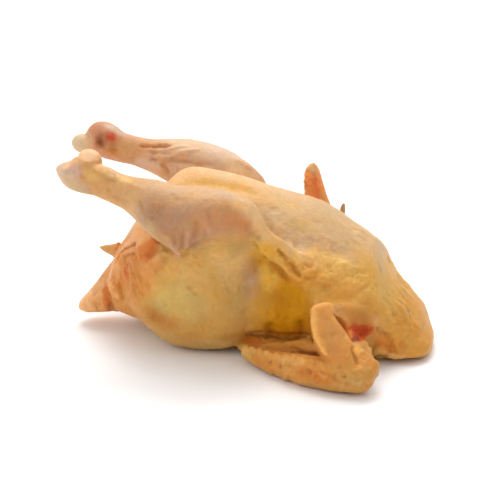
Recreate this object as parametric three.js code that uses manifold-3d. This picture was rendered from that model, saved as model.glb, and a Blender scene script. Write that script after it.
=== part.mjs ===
// A whole raw chicken without head and feet, lying on its back.
// Millimetres, +Z up. The tail points along -X, the neck end along +X, and the bird's left side is -Y.
// The skin is one continuous piece, so body, legs, wings, tail and neck flap are joined into one solid.
import * as THREE from "three";
import { mergeVertices } from "three/addons/utils/BufferGeometryUtils.js";
import Module from "manifold-3d";

const wasm = await Module();
wasm.setup();

// ---- Driving dimensions ----
const torso = {
  capLength: 0.05, // share of the torso's length over which each end rounds off
  waist: 0.42, // height of the widest line, as a share of the section's height
  underside: 2.6, // superellipse power of the back: flatter than an ellipse
  around: 36,
  along: 34,
  // distance along the body, half width, breast height, back height,
  // and the superellipse power of the breast, which is low where the breast is keeled
  sections: [
    [-103, 20, 46, 20, 2.0],
    [-89, 35, 69, 12, 2.0],
    [-72, 44, 98, 7, 1.8],
    [-57, 49, 115, 3, 1.5],
    [-38, 53, 118.5, 1, 1.42],
    [-14, 55, 116, -1, 1.45],
    [14, 57, 108, -2, 1.55],
    [50, 57, 98.5, -2, 1.7],
    [78, 52, 80.5, -2, 1.85],
    [92, 47.5, 65.5, -2, 2.0],
    [103, 43, 50, -1, 2.0],
    [113, 36.5, 36.5, -1, 2.0],
    [122, 29, 23, -1, 2.0],
    [129, 20, 9, -1, 2.0],
  ],
};
const leg = {
  around: 18,
  along: 24,
  // from the knee, past the calf and the thin shank, to the hock
  radii: [12, 16, 19.5, 21.5, 21, 17.5, 13.5, 10.3, 11, 13, 12],
  left: [
    [21, -56, 97],
    [4, -58, 99],
    [-13, -59, 99.5],
    [-29, -58, 98.5],
    [-43, -55, 99.5],
    [-57, -51, 104.5],
    [-71, -47, 109],
    [-85, -43, 113],
    [-99, -41, 117.5],
    [-115, -40, 120.5],
  ],
  right: [
    [1, 46, 87],
    [-13, 49, 94.5],
    [-28, 51, 98.5],
    [-43, 51, 103],
    [-58, 49, 109],
    [-71, 46, 113],
    [-84, 43, 116.5],
    [-98, 40.5, 118.5],
    [-111, 39, 121.5],
    [-127, 38, 125],
  ],
};
const thigh = {
  around: 20,
  along: 15,
  spine: [
    [-86, 24, 38],
    [-54, 33, 43],
    [-20, 37, 49],
    [22, 39, 57],
  ],
  depths: [26, 36, 41, 41, 36, 26],
  widths: [16, 26, 31, 31, 27, 19],
  // where the flesh goes on up into the knee
  kneeSpine: [
    [-34, 36, 52],
    [-6, 43, 70],
    [15, 49, 89],
  ],
  kneeWidths: [28, 28, 22, 14],
  rightSetBack: 8,
};
// rounded bone ends at each hock: how far past the leg's last point, how far above it, radius
const knuckles = [
  [-9, 6.5, 8.5],
  [2, -1, 9],
];
const wing = {
  around: 14,
  along: 13,
  upperRadii: [15, 14, 11, 9.5],
  forearmWidths: [9.5, 11, 11, 11, 10],
  forearmDepths: [6.5, 8, 8.5, 8.5, 8],
  handWidths: [12, 12.5, 11, 8.5, 5],
  handDepths: [11, 10, 8.5, 6.5, 4],
  webWidths: [11, 13, 11, 7],
  webDepths: [8, 4.5, 4, 5],
  thumbRadii: [4.5, 3.6, 2.2],
};
// joints of each wing: the left one lies folded on the table, the right one points its tip up beside the body
const leftWing = {
  shoulder: [86, -34, 26],
  elbow: [60, -77, 53],
  elbowSide: [65, -71, 42],
  middle: [71, -86, 28],
  wrist: [101, -95, 12],
  handMiddle: [58, -86.5, 10],
  handFacing: [0, 0, 1],
  tip: [6, -56, 7],
  webStart: [80, -44, 30],
  webMiddle: [84, -70, 28],
  webFacing: [0.72, 0, 0.69],
  thumb: [78, -98, 16],
};
const rightWing = {
  shoulder: [86, 34, 28],
  elbow: [8, 76, 15],
  elbowSide: [16, 72, 18],
  middle: [33, 88, 15],
  wrist: [54, 92, 20],
  handMiddle: [37.5, 90, 57],
  handFacing: [0, 1, 0],
  tip: [27, 88, 103],
  webStart: [72, 46, 24],
  webMiddle: [56, 68, 20],
  webFacing: [0.1, 0, 1],
  thumb: [53, 86, 76],
};
// loose skin along the back edge of the left wing, between its tip and the body
const looseSkin = {
  spine: [
    [10, -49, 6],
    [30, -52, 8],
    [54, -59, 9],
    [74, -70, 9],
  ],
  widths: [4, 6, 6, 5],
  depths: [5, 8, 8, 6],
  around: 12,
  along: 12,
};
const tail = {
  spine: [
    [-72, 0, 40],
    [-93, 0, 28],
    [-110, -1, 18],
    [-127, -2, 10],
  ],
  widths: [34, 28, 18, 10],
  depths: [30, 20, 11, 4.5],
  around: 18,
  along: 12,
};
const neckFlap = {
  spine: [
    [86, -6, 12],
    [110, -7, 9],
    [129, -6, 5],
  ],
  widths: [36, 34, 24],
  depths: [14, 11, 6],
  around: 24,
  along: 12,
};
const skinTag = { from: [-96, 12, 52], to: [-114, 14, 49], radii: [7, 4, 2] };
const flatSpotDepth = 60; // thickness of the slab that trims the underside flat

// ---- Making shapes ----
const vector = ([x, y, z]) => new THREE.Vector3(x, y, z);

// A function that gives the smooth value through evenly spaced numbers, at 0 to 1.
function smoothly(values) {
  const last = values.length - 1;
  const curve = new THREE.SplineCurve(
    values.map((v, i) => new THREE.Vector2(i / last, v)),
  );
  return (t) => curve.getPoint(t).y;
}

// A function that gives the smooth value through [place, value] pairs, held at the ends.
function through(pairs) {
  const curve = new THREE.SplineCurve(
    pairs.map(([x, v]) => new THREE.Vector2(x, v)),
  );
  const last = pairs.length - 1;
  return (x) => {
    const i = pairs.findIndex(([place]) => place > x);
    if (i === 0) return pairs[0][1];
    if (i < 0) return pairs[last][1];
    const share = (x - pairs[i - 1][0]) / (pairs[i][0] - pairs[i - 1][0]);
    return curve.getPoint((i - 1 + share) / last).y;
  };
}

// How full a section is at share s of the length: 0 at the very ends, rounding to 1 past the cap.
function capFullness(s, cap) {
  const fromEnd = Math.min(s, 1 - s);
  return fromEnd >= cap ? 1 : Math.sqrt(1 - (1 - fromEnd / cap) ** 2);
}

const power = (value, exponent) =>
  Math.sign(value) * Math.abs(value) ** exponent;

// A unit sphere whose rings are moved one by one: place(s, c, d) gives the point at share s of the length,
// where c and d are the cosine and sine of the angle round the ring.
function wrapped(around, along, place) {
  const sphere = new THREE.SphereGeometry(1, around, along);
  const points = sphere.getAttribute("position");
  for (let i = 0; i < points.count; i++) {
    const [x, y, z] = [points.getX(i), points.getY(i), points.getZ(i)];
    const ring = Math.hypot(x, z) || 1;
    const p = place((1 - y) / 2, x / ring, z / ring);
    points.setXYZ(i, p.x, p.y, p.z);
  }
  return solid(sphere);
}

// A manifold solid from a closed geometry, whichever way its triangles face.
function solid(geometry) {
  geometry.deleteAttribute("normal");
  geometry.deleteAttribute("uv");
  const merged = mergeVertices(geometry, 1e-3);
  const vertProperties = new Float32Array(merged.getAttribute("position").array);
  const facing = (triVerts) =>
    new wasm.Manifold(new wasm.Mesh({ numProp: 3, vertProperties, triVerts }));
  const corners = new Uint32Array(merged.index.array);
  const made = facing(corners);
  return made.volume() > 0 ? made : facing(corners.toReversed());
}

// Flesh round a curved spine: an elliptical section of smoothly changing width and depth.
// The depth lies along flatWay as nearly as the spine allows.
function flesh({
  spine,
  widths,
  depths = widths,
  flatWay = [0, 0, 1],
  around,
  along,
  cap = 0.12,
}) {
  const curve = new THREE.CatmullRomCurve3(spine.map(vector));
  const width = smoothly(widths);
  const depth = smoothly(depths);
  return wrapped(around, along, (s, c, d) => {
    const tangent = curve.getTangentAt(s);
    const side = new THREE.Vector3()
      .crossVectors(vector(flatWay), tangent)
      .normalize();
    const up = new THREE.Vector3().crossVectors(tangent, side);
    const full = capFullness(s, cap);
    return curve
      .getPointAt(s)
      .addScaledVector(side, c * width(s) * full)
      .addScaledVector(up, d * depth(s) * full);
  });
}

// ---- The bird's parts ----
function makeTorso() {
  const column = (k) => through(torso.sections.map((row) => [row[0], row[k]]));
  const [half, top, under, keel] = [1, 2, 3, 4].map(column);
  const first = torso.sections[0][0];
  const last = torso.sections[torso.sections.length - 1][0];
  return wrapped(torso.around, torso.along, (s, c, d) => {
    const x = first + (last - first) * s;
    const waist = under(x) + (top(x) - under(x)) * torso.waist;
    const exponent = 2 / (d > 0 ? keel(x) : torso.underside);
    const reach = d > 0 ? top(x) - waist : waist - under(x);
    const full = capFullness(s, torso.capLength);
    const y = half(x) * power(c, exponent) * full;
    const z = waist + reach * power(d, exponent) * full;
    return new THREE.Vector3(x, y, z);
  });
}

// side is -1 for the left leg and 1 for the right one.
function makeLeg(side) {
  const shank = side < 0 ? leg.left : leg.right;
  const setBack = side < 0 ? 0 : thigh.rightSetBack;
  const drumstick = flesh({
    spine: shank,
    widths: leg.radii,
    around: leg.around,
    along: leg.along,
    cap: 0.1,
  });
  const upper = flesh({
    spine: thigh.spine.map(([x, y, z]) => [x - setBack, y * side, z]),
    widths: thigh.widths,
    depths: thigh.depths,
    around: thigh.around,
    along: thigh.along,
    cap: 0.3,
  });
  const knee = flesh({
    spine: thigh.kneeSpine.map(([x, y, z]) => [x - setBack * 2, y * side, z]),
    widths: thigh.kneeWidths,
    around: thigh.around,
    along: thigh.along,
    cap: 0.25,
  });
  const [x, y, z] = shank[shank.length - 1];
  const bones = knuckles.map(([past, above, radius]) => {
    const lump = new THREE.SphereGeometry(radius, 14, 10);
    lump.translate(x - past, y, z + above);
    return solid(lump);
  });
  return [drumstick, upper, knee, ...bones];
}

function makeWing(joints) {
  const size = { around: wing.around, along: wing.along };
  const lean = Math.sign(joints.wrist[1]);
  const between = (a, b, share) =>
    a.map((value, i) => value + (b[i] - value) * share);
  const upper = flesh({
    spine: [joints.shoulder, joints.elbowSide],
    widths: wing.upperRadii,
    ...size,
    cap: 0.2,
  });
  const forearm = flesh({
    spine: [joints.elbow, joints.middle, joints.wrist],
    widths: wing.forearmWidths,
    depths: wing.forearmDepths,
    flatWay: [0.25, lean, 0.9],
    ...size,
    cap: 0.12,
  });
  const hand = flesh({
    spine: [joints.wrist, joints.handMiddle, joints.tip],
    widths: wing.handWidths,
    depths: wing.handDepths,
    ...size,
    flatWay: joints.handFacing,
    cap: 0.1,
  });
  const web = flesh({
    spine: [joints.webStart, joints.webMiddle, joints.wrist],
    widths: wing.webWidths,
    depths: wing.webDepths,
    ...size,
    flatWay: joints.webFacing,
  });
  const thumb = flesh({
    spine: [
      between(joints.wrist, joints.tip, 0.1),
      between(between(joints.wrist, joints.tip, 0.2), joints.thumb, 0.5),
      joints.thumb,
    ],
    widths: wing.thumbRadii,
    around: 10,
    along: 10,
  });
  return [upper, forearm, hand, web, thumb];
}

function makeTail() {
  const stub = flesh({
    spine: tail.spine,
    widths: tail.widths,
    depths: tail.depths,
    around: tail.around,
    along: tail.along,
    cap: 0.15,
  });
  const tag = flesh({
    spine: [skinTag.from, skinTag.to],
    widths: skinTag.radii,
    around: 10,
    along: 8,
  });
  return [stub, tag];
}

// What lies under the table's surface, to leave flat spots where the bird rests.
function makeUnderTable() {
  const slab = new THREE.BoxGeometry(600, 600, flatSpotDepth);
  slab.translate(0, 0, -flatSpotDepth / 2);
  return solid(slab);
}

const parts = [
  makeTorso(),
  ...makeLeg(-1),
  ...makeLeg(1),
  ...makeWing(leftWing),
  ...makeWing(rightWing),
  ...makeTail(),
  flesh({ ...looseSkin, cap: 0.2 }),
  flesh({ ...neckFlap, cap: 0.2 }),
];
const bird = parts
  .reduce((whole, piece) => whole.add(piece))
  .subtract(makeUnderTable());

const made = bird.getMesh();
const skin = new THREE.BufferGeometry();
skin.setAttribute(
  "position",
  new THREE.BufferAttribute(made.vertProperties, made.numProp),
);
skin.setIndex(new THREE.BufferAttribute(made.triVerts, 1));
skin.computeBoundingBox();
skin.computeVertexNormals();

const chicken = new THREE.Mesh(
  skin,
  new THREE.MeshStandardMaterial({
    color: 0xd9a468,
    roughness: 0.45,
    metalness: 0,
  }),
);
chicken.name = "chicken";
// The origin is the centre of the footprint, on the table.
const centre = skin.boundingBox.getCenter(new THREE.Vector3());
chicken.position.set(-centre.x, -centre.y, 0);

const group = new THREE.Group();
group.add(chicken);

export default group;
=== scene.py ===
# A whole raw chicken, plucked, lying on its back: one continuous skin.
# Places are millimetres in the bird's own frame: tail at -X, neck end at +X, left side at -Y, table at Z 0.
import math
import random

import bmesh
import bpy
import numpy as np
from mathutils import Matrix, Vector, noise
from mathutils.bvhtree import BVHTree
from mathutils.kdtree import KDTree


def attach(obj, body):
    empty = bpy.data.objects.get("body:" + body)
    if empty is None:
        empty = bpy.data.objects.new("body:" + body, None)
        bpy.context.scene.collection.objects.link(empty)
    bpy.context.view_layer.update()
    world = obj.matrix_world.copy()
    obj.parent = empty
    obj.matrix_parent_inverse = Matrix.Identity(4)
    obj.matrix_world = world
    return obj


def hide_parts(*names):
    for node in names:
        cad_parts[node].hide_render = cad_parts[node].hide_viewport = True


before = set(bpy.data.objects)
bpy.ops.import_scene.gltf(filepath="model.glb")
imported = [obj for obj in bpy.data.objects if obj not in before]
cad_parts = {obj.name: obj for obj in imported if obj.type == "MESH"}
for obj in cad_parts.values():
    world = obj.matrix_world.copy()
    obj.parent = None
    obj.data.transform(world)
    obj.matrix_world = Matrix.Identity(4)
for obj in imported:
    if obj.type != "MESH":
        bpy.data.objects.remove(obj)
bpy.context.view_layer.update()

mm = 0.001
birdOrigin = np.array([4.488, 1.709, 0.0])  # where the bird's own origin lies in the frame, mm
pathSteps = 400  # places worked out along the spine of each form

view = {
    "azimuth": 12,  # degrees round from the left side
    "elevation": 18,
    "distance": 1000,
    "target": (0, 0, 50),
    "lens": 102.86,
    "sensor": 36,
    "shiftUp": 0.03,
    "frameSize": 500,  # width and height of the camera's frame
    "farthest": 30,  # metres
}


def eyeAxes():
    # the camera's right, up and back
    turn, rise = math.radians(view["azimuth"]), math.radians(view["elevation"])
    right = np.array([math.cos(turn), math.sin(turn), 0])
    back = np.array([math.sin(turn) * math.cos(rise), -math.cos(turn) * math.cos(rise), math.sin(rise)])
    return right, np.cross(back, right), back


def eyePlace():
    return np.array(view["target"], float) + eyeAxes()[2] * view["distance"]


def sightLine(place):
    # the direction from the eye through a place in the camera's frame, counted from its top left corner
    right, up, back = eyeAxes()
    across = (place[0] / view["frameSize"] - 0.5) * view["sensor"] / view["lens"]
    down = (place[1] / view["frameSize"] - 0.5 - view["shiftUp"]) * view["sensor"] / view["lens"]
    return right * across - up * down - back


def toFrame(points):
    return (np.asarray(points, float) + birdOrigin) * mm


def between(rows, places):
    # smooth values through evenly spaced rows, at places from 0 to 1
    rows = np.asarray(rows, float)
    last = len(rows) - 1
    at = np.clip(np.asarray(places, float), 0, 1) * last
    i = np.minimum(at.astype(int), last - 1)
    t = at - i
    if rows.ndim > 1:
        t = t[:, None]
    before, a, b, after = rows[np.maximum(i - 1, 0)], rows[i], rows[i + 1], rows[np.minimum(i + 2, last)]
    v0, v1 = (b - before) / 2, (after - a) / 2
    return ((2 * a - 2 * b + v0 + v1) * t + (-3 * a + 3 * b - 2 * v0 - v1)) * t * t + v0 * t + a


def alongPath(points, shares):
    # places on the smooth path through the points, by share of its length, and the path's direction there
    dense = between(points, np.linspace(0, 1, pathSteps))
    run = np.concatenate([[0], np.cumsum(np.linalg.norm(np.diff(dense, axis=0), axis=1))])
    shares = np.asarray(shares) * run[-1]
    at = np.stack([np.interp(shares, run, dense[:, k]) for k in range(3)], 1)
    slope = np.gradient(dense, axis=0)
    way = np.stack([np.interp(shares, run, slope[:, k]) for k in range(3)], 1)
    return at, way / np.linalg.norm(way, axis=1)[:, None]


def capFullness(shares, cap):
    # how full a section is: 0 at the very ends, rounding to 1 past the cap
    fromEnd = np.minimum(shares, 1 - shares)
    return np.sqrt(np.clip(1 - np.clip(1 - fromEnd / cap, 0, 1) ** 2, 0, 1))


def wrapSphere(body, around, along, place):
    # a sphere whose rings are moved to where place(share, cosine, sine) puts them
    made = bmesh.ops.create_uvsphere(body, u_segments=around, v_segments=along, radius=1)["verts"]
    at = np.array([v.co for v in made])
    ring = np.maximum(np.hypot(at[:, 0], at[:, 1]), 1e-6)
    onPole = ring < 1e-3
    cosine = np.where(onPole, 1, at[:, 0] / ring)
    sine = np.where(onPole, 0, at[:, 1] / ring)
    moved = place((1 - at[:, 2]) / 2, cosine, sine)
    for vert, point in zip(made, moved):
        vert.co = point


def flesh(body, spine, widths, depths=None, flatWay=(0, 0, 1), cap=0.12, boxy=1, around=40, along=40):
    # flesh round a curved spine: an elliptical section of smoothly changing width and depth,
    # squarer below boxy 1
    depths = depths or widths

    def place(share, cosine, sine):
        at, way = alongPath(spine, share)
        side = np.cross(np.array(flatWay, float), way)
        side /= np.linalg.norm(side, axis=1)[:, None]
        up = np.cross(way, side)
        full = capFullness(share, cap)
        across = (np.sign(cosine) * np.abs(cosine) ** boxy * between(widths, share) * full)[:, None]
        deep = (np.sign(sine) * np.abs(sine) ** boxy * between(depths, share) * full)[:, None]
        return at + side * across + up * deep

    wrapSphere(body, around, along, place)


torso = {
    "around": 96,  # points round each ring
    "along": 90,  # rings
    "capLength": 0.05,
    "waist": 0.42,  # height of the widest line, as a share of the section's height
    "underside": 2.6,  # how flat the back is
    # place along the body, half width, breast height, back height, how round the breast is
    "sections": [
        (-103, 20, 46, 20, 2.0), (-89, 35, 67.5, 14, 2.0), (-72, 44, 90.5, 9, 1.8), (-59, 49, 106, 4, 1.6),
        (-50, 51, 115.5, 2, 1.46), (-38, 53, 118.5, 1, 1.42), (-14, 55, 116, -1, 1.45),
        (14, 57, 108, -2, 1.55), (50, 57, 98.5, -2, 1.7), (78, 52, 80.5, -2, 1.85), (86, 49.5, 74.3, -2, 1.9),
        (92, 47.5, 68, -2, 2.0), (96, 46, 59.5, -2, 2.0), (100, 44.5, 50.5, -1, 2.0), (104, 43, 45, -1, 2.0),
        (113, 37, 35.5, -1, 2.0), (122, 31, 25.5, -1, 2.0), (130, 22, 12, -1, 2.0),
    ],
}


def makeTorso(body):
    rows = np.array(torso["sections"], float)
    knots = np.linspace(0, 1, len(rows))

    def place(share, cosine, sine):
        x = rows[0, 0] + (rows[-1, 0] - rows[0, 0]) * share
        half, top, under, keel = (between(rows[:, k], np.interp(x, rows[:, 0], knots)) for k in range(1, 5))
        waist = under + (top - under) * torso["waist"]
        full = capFullness(share, torso["capLength"])
        exponent = 2 / np.where(sine > 0, keel, torso["underside"])
        reach = np.where(sine > 0, top - waist, waist - under)
        y = half * np.sign(cosine) * np.abs(cosine) ** exponent * full
        z = waist + reach * np.sign(sine) * np.abs(sine) ** exponent * full
        return np.stack([x, y, z], 1)

    wrapSphere(body, torso["around"], torso["along"], place)


leg = {
    # from the knee, past the calf and the thin shank, to the hock
    "radii": (12, 16, 19.5, 21.5, 21, 18.6, 14.8, 11.2, 10.5, 10.6, 9),
    "cap": 0.1,  # how much of each end is rounded, as a share of the length
    "along": 70,
    "left": [
        (21, -56, 97), (4, -58, 99), (-13, -59, 99.5), (-29, -58, 98.5), (-43, -55, 100.4),
        (-57, -51, 106), (-71, -47, 110.2), (-85, -43, 113), (-99, -41, 117.5), (-115, -40, 120.5),
    ],
    "right": [
        (1, 46, 80), (-14, 49, 89.8), (-28, 51, 96), (-43, 51, 101.6), (-58, 49, 107.4),
        (-71, 46, 111.6), (-84, 43, 115), (-98, 40.5, 118.5), (-111, 39, 121.5), (-127, 38, 125),
    ],
}
hocks = {
    # the cut joint at each leg's end and its rounded knobs: path and radii
    "leftEnd": (
        [(-88, -43, 116), (-100, -42, 116.2), (-109, -41, 117.8), (-117, -41, 120.8), (-126, -41, 124)],
        (10.3, 10.2, 10.2, 9.2, 5.5)),
    "leftKnob": ([(-109, -43, 130), (-101, -42, 130.6), (-92.5, -42, 127.5)], (6.2, 7.4, 6)),
    "leftPad": ([(-99, -46, 121), (-91, -45, 121.5), (-80, -43, 116)], (6, 6.3, 6)),
    "leftInnerKnob": ([(-118, -34, 123), (-98, -34, 124)], (7, 7.5)),
    "rightEnd": (
        [(-97, 39, 119.5), (-108, 38.5, 122), (-114, 38, 124.8), (-120.5, 38, 127), (-131, 38, 127)],
        (10.4, 11, 12.2, 12, 9)),
    "rightLobe": ([(-120, 37, 121), (-131, 37, 122.4), (-140.5, 37, 122.8)], (7, 7, 6.6)),
    "rightOuterKnob": ([(-128, 45, 122), (-108, 46, 120)], (7, 7)),
}
thigh = {
    "spine": [(-86, 24, 43), (-55, 33, 45), (-20, 38, 45.5), (22, 39, 55)],
    "depths": (23, 32.5, 43, 44.5, 40, 29),
    "widths": (16, 26, 31, 31, 27, 19),
    "cap": 0.3,
    "kneeSpine": [(-34, 36, 52), (-6, 43, 70), (15, 49, 89)],
    "kneeWidths": (28, 28, 22, 14),
    "kneeCap": 0.25,
    "rightSetBack": 8,
}


def makeLeg(body, side):
    # side is -1 for the left leg and 1 for the right one
    shank = leg["left"] if side < 0 else leg["right"]
    setBack = 0 if side < 0 else thigh["rightSetBack"]
    flesh(body, shank, leg["radii"], cap=leg["cap"], along=leg["along"])
    upper = [(x - setBack, y * side, z) for x, y, z in thigh["spine"]]
    flesh(body, upper, thigh["widths"], thigh["depths"], cap=thigh["cap"])
    knee = [(x - setBack * 2, y * side, z) for x, y, z in thigh["kneeSpine"]]
    flesh(body, knee, thigh["kneeWidths"], cap=thigh["kneeCap"])


wing = {
    "upperRadii": (15, 14, 11, 9.5),
    "forearmWidths": (8, 9, 9.6, 10.4, 10),
    "forearmDepths": (6.5, 8, 8.5, 8.5, 8),
    "handWidths": (12, 12.5, 11, 8.5, 5),
    "handDepths": (11, 10, 8.5, 6.5, 4),
    "webWidths": (11, 13, 11, 7),
    "webDepths": (8, 4.5, 4, 5),
    "thumbRadii": (4.5, 3.6, 2.2),
    "thumbStart": 0.1,  # places along the hand
    "thumbBend": 0.2,
    "upperCap": 0.2,
    "forearmCap": 0.06,
    "forearmBoxy": 0.62,
    "forearmTilt": (0.25, 0.9),
    "handCap": 0.1,
}
fineRings = {"around": 20, "along": 20}  # for the thumbs and the tag
leftWing = {
    "shoulder": (86, -34, 26), "elbow": (62.3, -77, 53.5), "elbowSide": (66, -71, 42),
    "middle": (72.6, -86, 28), "wrist": (101, -95, 12), "handMiddle": (58, -86.5, 10),
    "handFacing": (0, 0, 1), "tip": (6, -56, 7), "webStart": (80, -44, 30), "webMiddle": (84, -70, 28),
    "webFacing": (0.72, 0, 0.69), "thumb": (78, -98, 16),
}
rightWing = {
    "shoulder": (86, 34, 28), "elbow": (8, 76, 15), "elbowSide": (16, 72, 18), "middle": (33, 88, 15),
    "wrist": (54, 92, 20), "handMiddle": (36, 90, 57), "handFacing": (0, 1, 0), "tip": (27, 88, 103),
    "webStart": (72, 46, 24), "webMiddle": (56, 68, 20), "webFacing": (0.1, 0, 1), "thumb": (53, 86, 76),
}


def makeWing(body, joints):
    tilt = wing["forearmTilt"]
    outward = (tilt[0], math.copysign(1, joints["wrist"][1]), tilt[1])
    flesh(body, [joints["shoulder"], joints["elbowSide"]], wing["upperRadii"], cap=wing["upperCap"])
    forearm = [joints["elbow"], joints["middle"], joints["wrist"]]
    flesh(body, forearm, wing["forearmWidths"], wing["forearmDepths"], outward, wing["forearmCap"],
          wing["forearmBoxy"])
    hand = [joints["wrist"], joints["handMiddle"], joints["tip"]]
    flesh(body, hand, wing["handWidths"], wing["handDepths"], joints["handFacing"], wing["handCap"])
    web = [joints["webStart"], joints["webMiddle"], joints["wrist"]]
    flesh(body, web, wing["webWidths"], wing["webDepths"], joints["webFacing"])
    wrist, tip, thumbEnd = (Vector(joints[k]) for k in ("wrist", "tip", "thumb"))
    start, bend = wrist.lerp(tip, wing["thumbStart"]), wrist.lerp(tip, wing["thumbBend"])
    thumb = [start, bend.lerp(thumbEnd, 0.5), thumbEnd]
    flesh(body, [tuple(p) for p in thumb], wing["thumbRadii"], **fineRings)


fillers = {
    # flesh that rounds off a corner: path and radii
    "underKnee": ([(-18, -57, 80), (6, -56, 82)], (13, 14, 12)),
    "kneeWeb": ([(8, -57, 89), (20, -51, 83.5), (32, -46, 76), (42, -45, 69)], (13, 9, 6, 5)),
    "underRightKnee": ([(-38, 52, 82), (-12, 48, 80)], (13, 14, 12)),
    "elbowPit": ([(68, -70, 43), (80, -70, 33)], (5, 6, 5)),
    "rightTip": ([(29, 88, 74), (28.5, 88, 92), (29.5, 88, 104)], (6.4, 5.7, 4.8)),
}
fillerCap = 0.35


def makeFillers(body):
    for path, radii in [*fillers.values(), *hocks.values()]:
        flesh(body, path, radii, cap=fillerCap)


tail = {
    "spine": [(-72, 0, 40), (-93, 0, 28), (-110, -1, 18), (-127, -2, 10)],
    "widths": (34, 28, 18, 10),
    "depths": (30, 20, 11, 4.5),
    "cap": 0.15,
    "tag": [(-96, 12, 51), (-106, 13, 50.5), (-116, 14, 52)],  # skin tag at the vent
    "tagRadii": (7, 4.5, 2.2),
}
neck = {
    "spine": [(86, -6, 12), (110, -7, 9), (130.5, -6, 6)],
    "widths": (36, 34, 26),
    "depths": (14, 11, 7.5),
    "cap": 0.15,
    "boxy": 0.85,
}
looseSkin = {
    "spine": [(0, -45, 5), (14, -48.5, 7), (32, -54, 9), (54, -61, 10.5), (74, -70, 10)],
    "widths": (3.6, 5.5, 7, 7, 5),
    "depths": (3.6, 6.5, 9, 9, 6.5),
    "cap": 0.2,
}


def makeEnds(body):
    flesh(body, tail["spine"], tail["widths"], tail["depths"], cap=tail["cap"])
    flesh(body, tail["tag"], tail["tagRadii"], **fineRings)
    flesh(body, neck["spine"], neck["widths"], neck["depths"], cap=neck["cap"], boxy=neck["boxy"])
    flesh(body, looseSkin["spine"], looseSkin["widths"], looseSkin["depths"], cap=looseSkin["cap"])


skin = {
    "voxel": 0.95,  # mm
    "triangles": 190000,
}


def addPiece(name, body):
    # the finished mesh as an object in the scene
    mesh = bpy.data.meshes.new(name)
    body.to_mesh(mesh)
    body.free()
    piece = bpy.data.objects.new(name, mesh)
    bpy.context.scene.collection.objects.link(piece)
    return piece


def joinForms():
    body = bmesh.new()
    makeTorso(body)
    makeLeg(body, -1)
    makeLeg(body, 1)
    makeWing(body, leftWing)
    makeWing(body, rightWing)
    makeEnds(body)
    makeFillers(body)
    bmesh.ops.recalc_face_normals(body, faces=body.faces)
    return addPiece("chickenSkin", body)


def applyModifiers(piece):
    bpy.context.view_layer.update()
    ready = piece.evaluated_get(bpy.context.evaluated_depsgraph_get())
    made = bpy.data.meshes.new_from_object(ready)
    old = piece.data
    piece.modifiers.clear()
    piece.data = made
    bpy.data.meshes.remove(old)
    made.name = piece.name


def remesh(piece):
    voxels = piece.modifiers.new("oneSkin", "REMESH")
    voxels.mode = "VOXEL"
    voxels.voxel_size = skin["voxel"]
    voxels.use_smooth_shade = True
    applyModifiers(piece)


def readPoints(piece):
    at = np.empty(len(piece.data.vertices) * 3, np.float32)
    piece.data.vertices.foreach_get("co", at)
    return at.reshape(-1, 3).astype(float)


def writePoints(piece, at):
    piece.data.vertices.foreach_set("co", at.astype(np.float32).ravel())
    piece.data.update()


def readNormals(piece):
    out = np.empty(len(piece.data.vertices) * 3, np.float32)
    piece.data.vertex_normals.foreach_get("vector", out)
    return out.reshape(-1, 3).astype(float)


def readEdges(piece):
    ends = np.empty(len(piece.data.edges) * 2, np.int32)
    piece.data.edges.foreach_get("vertices", ends)
    return ends.reshape(-1, 2)


def relax(at, edges, amount, times):
    # draws each point towards the middle of its neighbours, by its own amount
    ends = np.concatenate([edges, edges[:, ::-1]])
    count = np.bincount(ends[:, 0], minlength=len(at))[:, None]
    for _ in range(times):
        total = np.stack([np.bincount(ends[:, 0], at[ends[:, 1], k], len(at)) for k in range(3)], 1)
        at = at + (total / count - at) * amount[:, None]
    return at


def pathDistance(at, path):
    # from each point to the path: distance, share of the path's length, and the nearest place on it
    path = np.asarray(path, float)
    if len(path) == 1:
        near = np.broadcast_to(path[0], at.shape)
        return np.linalg.norm(at - path[0], axis=1), np.full(len(at), 0.5), near
    steps = np.linalg.norm(np.diff(path, axis=0), axis=1)
    run = np.concatenate([[0], np.cumsum(steps)])
    best = np.full(len(at), np.inf)
    share = np.zeros(len(at))
    near = np.zeros_like(at)
    for i, (a, b) in enumerate(zip(path[:-1], path[1:])):
        t = np.clip((at - a) @ (b - a) / max(steps[i] ** 2, 1e-9), 0, 1)
        place = a + t[:, None] * (b - a)
        away = np.linalg.norm(at - place, axis=1)
        closer = away < best
        best[closer] = away[closer]
        share[closer] = (run[i] + t[closer] * steps[i]) / max(run[-1], 1e-9)
        near[closer] = place[closer]
    return best, share, near


softJoins = [
    # where the forms melt together: path, reach, strength
    ([(-90, -30, 60), (-50, -45, 70), (0, -50, 60), (30, -45, 60)], 45, 1.0),
    ([(-90, 30, 60), (-50, 45, 70), (0, 50, 60), (30, 45, 60)], 45, 1.0),
    ([(20, 0, 60), (80, 0, 40), (120, 0, 15)], 60, 0.7),
    ([(-75, 0, 40), (-105, 0, 25)], 30, 0.8),
    ([(60, -60, 35), (85, -50, 28)], 18, 0.4),
    ([(60, 60, 25), (85, 50, 28)], 22, 0.6),
    ([(-120, -40, 122), (-98, -42, 119)], 12, 0.35),
    ([(-130, 38, 125), (-108, 39, 122)], 12, 0.35),
]
melting = {
    "everywhere": 0.05,  # how much the skin softens away from the joins
    "edge": 1.5,  # how far past its reach a join still softens
    "pull": 0.6,
    "rounds": 40,
    "evenPull": 0.5,
    "evenRounds": 4,
}


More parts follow.
